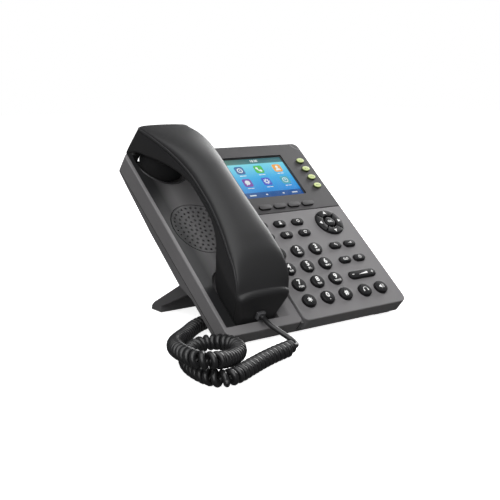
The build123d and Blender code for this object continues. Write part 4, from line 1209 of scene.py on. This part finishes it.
def around_base(height_at, count=10):
    """Steps round the base's outline, at a height that depends on the distance up the face."""
    low, high = in_slab("bottom_shell").min(0), in_slab("bottom_shell").max(0)
    radius = 6.0
    left, right, rear = low[0] + radius, high[0] - radius, high[1] - radius
    line = []
    for corner, start in (((right, rear), 0.0), ((left, rear), pi / 2), ((left, radius), pi),
                          ((right, radius), 3 * pi / 2)):
        for index in range(count + 1):
            angle = start + pi / 2 * index / count
            outward = (cos(angle), sin(angle), 0.0)
            x, y = corner[0] + radius * outward[0], corner[1] + radius * outward[1]
            line.append(((x, y, height_at(y)), outward, (0.0, 0.0, 1.0)))
    return line


PART_FRONT, PART_REAR = -12.4, -16.2
LENGTH = float(in_slab("cradle_cover")[:, 1].max())


def parting(y):
    """Depth of the parting line at a distance up the face."""
    return PART_FRONT + (PART_REAR - PART_FRONT) * y / LENGTH


# Painted shadow: a thin black band round the base along the parting line between the shells.
swept("parting_line_shadow", around_base(parting), [(0.03, -0.28), (0.03, 0.28), (-0.5, 0.28), (-0.5, -0.28)],
      PAINTED_SHADE_BLACK, closed=True)


TROUGH_X = -62.2            # middle, width and depth of the trough between the wells
TROUGH_WIDTH = 63.4
TROUGH_DEPTH = 3.5
TROUGH_RADIUS = (TROUGH_WIDTH ** 2 / 4 + TROUGH_DEPTH ** 2) / (2 * TROUGH_DEPTH)


def trough_depth(x):
    """Height of the trough's surface at a place across the face."""
    return (x - TROUGH_X) ** 2 / (2 * TROUGH_RADIUS) - TROUGH_DEPTH


def well_lip():
    """The raised lip along the lower rim of the ear's well."""
    radius, well = 26.7, (CRADLE_X, 188.0)
    line = []
    for index in range(41):
        angle = pi * (1.06 + 0.88 * index / 40)
        x, y = radius * cos(angle), well[1] + radius * sin(angle)
        depth = trough_depth(well[0] + x)
        fade = min(1.0, index / 6, (40 - index) / 6)
        place = (well[0] + x, y, depth - 0.9 + 0.9 * fade)
        line.append((place, (cos(angle), sin(angle), 0.0), (0.0, 0.0, 1.0)))
    profile = [(0.85 * cos(pi * k / 5), 0.75 * sin(pi * k / 5)) for k in range(10)]
    swept("ear_well_lip", line, profile, RIM)


well_lip()
WELL_FLOOR = -11.0          # of the ear's well
WELL_SIDE = 25.7            # the well's opening at the base's end, each way from its middle
BOSS_SIDE = 17.9            # room for the earpiece there


def well_end():
    """The two cheeks that close the ear's well beside the earpiece, at the base's upper end, in black for painted
    shade.
    """
    for name, low, high in (("left", -WELL_SIDE, -BOSS_SIDE), ("right", BOSS_SIDE, WELL_SIDE)):
        centre = (CRADLE_X + (low + high) / 2, LENGTH - 1.3)
        stack("ear_well_end_shade_" + name, rounded((high - low, 2.4), 0.6, centre, 24),
              [(0.0, WELL_FLOOR), (0.0, -0.7), (0.4, -0.3)], PAINTED_SHADE_BLACK, "base")


well_end()
GRILLE_Y = 109.0            # middle of the loudspeaker's grille, up the face
GRILLE_RINGS = 5
GRILLE_PITCH = 4.6
HOLE_RADII = (0.88, 1.25)   # of the black ring of painted shade round each sound hole


def grille_hole_shade():
    """Painted shade at each sound hole over the loudspeaker: a black countersunk ring down into the hole and round
    its rim.
    """
    places = [(CRADLE_X, GRILLE_Y)]
    for ring in range(1, GRILLE_RINGS + 1):
        for index in range(6 * ring):
            angle = 2 * pi * index / (6 * ring) + 0.3 * ring
            reach = ring * GRILLE_PITCH
            places.append((CRADLE_X + reach * cos(angle), GRILLE_Y + reach * sin(angle)))
    points, faces = [], []
    inner, outer = HOLE_RADII
    for x, y in places:
        start = len(points)
        for lift, radius in ((-0.3, inner), (0.03, inner), (0.03, outer), (-0.3, outer)):
            circle = ellipse((2 * radius, 2 * radius), (x, y), 16)(0.0)
            points += [(across, up, trough_depth(across) + lift) for across, up in circle]
        faces += [tuple(start + k for k in face) for face in quads(4, 16, closed=True)]
        faces += [(start + 48 + k, start + 48 + (k + 1) % 16, start + (k + 1) % 16, start + k)
                  for k in range(16)]
    piece("grille_hole_shade", points, faces, PAINTED_SHADE_BLACK, "base", sharp=60)


grille_hole_shade()
LAMP_RADIUS = 8.6           # of the lamp guide's curve round the bezel's corner


def lamp_seam():
    """The light guide of the message lamp, a fine curved line at the top right corner."""
    corner = in_slab("display_bezel").max(0)
    line = []
    for index in range(17):
        angle = pi + pi / 2 * index / 16 * 0.9
        outward = (cos(angle), sin(angle), 0.0)
        place = (corner[0] + LAMP_RADIUS * outward[0], corner[1] + LAMP_RADIUS * outward[1], 0.0)
        line.append((place, outward, (0.0, 0.0, 1.0)))
    strip = [(-0.22, -0.3), (0.22, -0.3), (0.22, 0.03), (-0.22, 0.03)]
    swept("message_lamp_guide", line, strip, LAMP)


lamp_seam()
SOCKETS_X = (18.0, 36.0)    # middles of the network sockets, across the face
SOCKETS_TOP = 132.0         # they open below this distance up the face
CONTACT_PITCH = 1.02
CONTACT_HALF = 0.17


def socket_contacts():
    """Eight gold spring wires in each network socket."""
    points, faces = [], []
    sockets = in_slab("ports")
    wall = float(sockets[:, 1][sockets[:, 1] < SOCKETS_TOP].max())
    for middle in SOCKETS_X:
        for index in range(8):
            x = middle + CONTACT_PITCH * (index - 3.5)
            line = [(wall - 13.5, -10.6), (wall - 5.0, -12.4), (wall - 2.5, -12.6)]
            for (y0, z0), (y1, z1) in zip(line, line[1:]):
                start = len(points)
                points += [(x + a * CONTACT_HALF, y, z + b * CONTACT_HALF) for y, z in ((y0, z0), (y1, z1))
                           for a, b in ((-1, -1), (1, -1), (1, 1), (-1, 1))]
                faces += [tuple(start + k for k in face) for face in
                          ((0, 1, 2, 3), (7, 6, 5, 4), (0, 4, 5, 1),
                           (1, 5, 6, 2), (2, 6, 7, 3), (3, 7, 4, 0))]
    piece("network_contacts", points, faces, GOLD, "base")


socket_contacts()


# Stage: a pale floor and soft studio light
FLOOR_HALF = 4.0
FLOOR_DROP = 0.0002         # just under the feet
floor_mesh = bpy.data.meshes.new("floor")
floor_mesh.from_pydata([(x * FLOOR_HALF, y * FLOOR_HALF, -FLOOR_DROP)
                        for x, y in ((-1, -1), (1, -1), (1, 1), (-1, 1))], [], [(0, 1, 2, 3)])
floor = bpy.data.objects.new("floor", floor_mesh)
SCENE.collection.objects.link(floor)
floor_material, floor_tree, floor_shader = shader("floor_paper")
floor_shader.inputs["Base Color"].default_value = (0.93, 0.93, 0.93, 1.0)
floor_shader.inputs["Roughness"].default_value = 0.9
floor_shader.inputs["Specular IOR Level"].default_value = 0.1
floor_place = floor_tree.nodes.new("ShaderNodeTexCoord")
floor_reach = floor_tree.nodes.new("ShaderNodeVectorMath")
floor_reach.operation = "LENGTH"
floor_tree.links.new(floor_place.outputs["Object"], floor_reach.inputs[0])
floor_glow = spread(floor_tree, floor_reach.outputs["Value"], (0.2, 0.5), (0.85, 1.2))
floor_tree.links.new(floor_glow, floor_shader.inputs["Emission Strength"])
floor_shader.inputs["Emission Color"].default_value = (1.0, 1.0, 1.0, 1.0)
floor_mesh.materials.append(floor_material)
floor.visible_diffuse = False
floor.visible_glossy = False

world = bpy.data.worlds.new("studio")
SCENE.world = world
world.use_nodes = True
sky = world.node_tree
background = sky.nodes["Background"]
direction = sky.nodes.new("ShaderNodeTexCoord")
apart = sky.nodes.new("ShaderNodeSeparateXYZ")
sky.links.new(direction.outputs["Generated"], apart.inputs["Vector"])
fade = sky.nodes.new("ShaderNodeValToRGB")
sky.links.new(spread(sky, apart.outputs["Z"], (-1.0, 1.0)), fade.inputs["Fac"])
for element, (position, value) in zip(fade.color_ramp.elements, ((0.35, 0.09), (0.9, 0.14))):
    element.position = position
    element.color = (value, value, value, 1.0)
camera_ray = sky.nodes.new("ShaderNodeLightPath")
blank = sky.nodes.new("ShaderNodeMix")
blank.data_type = "RGBA"
sky.links.new(camera_ray.outputs["Is Camera Ray"], blank.inputs["Factor"])
sky.links.new(fade.outputs["Color"], blank.inputs["A"])
blank.inputs["B"].default_value = (1.0, 1.0, 1.0, 1.0)
sky.links.new(blank.outputs["Result"], background.inputs["Color"])


def soft_light(name, place, size, power):
    """A square area light that looks at the phone."""
    data = bpy.data.lights.new(name, "AREA")
    data.size = size
    data.energy = power
    made = bpy.data.objects.new(name, data)
    made.location = place
    made.rotation_mode = "QUATERNION"
    made.rotation_quaternion = (Vector((0.0, 0.0, 0.06)) - Vector(place)).to_track_quat("-Z", "Y")
    SCENE.collection.objects.link(made)


soft_light("light_key", (-0.45, -0.45, 1.22), 1.9, 23.0)
soft_light("light_flank", (1.05, 0.46, 0.62), 0.8, 14.0)
soft_light("light_front", (-0.8, -1.0, 0.40), 0.9, 5.0)
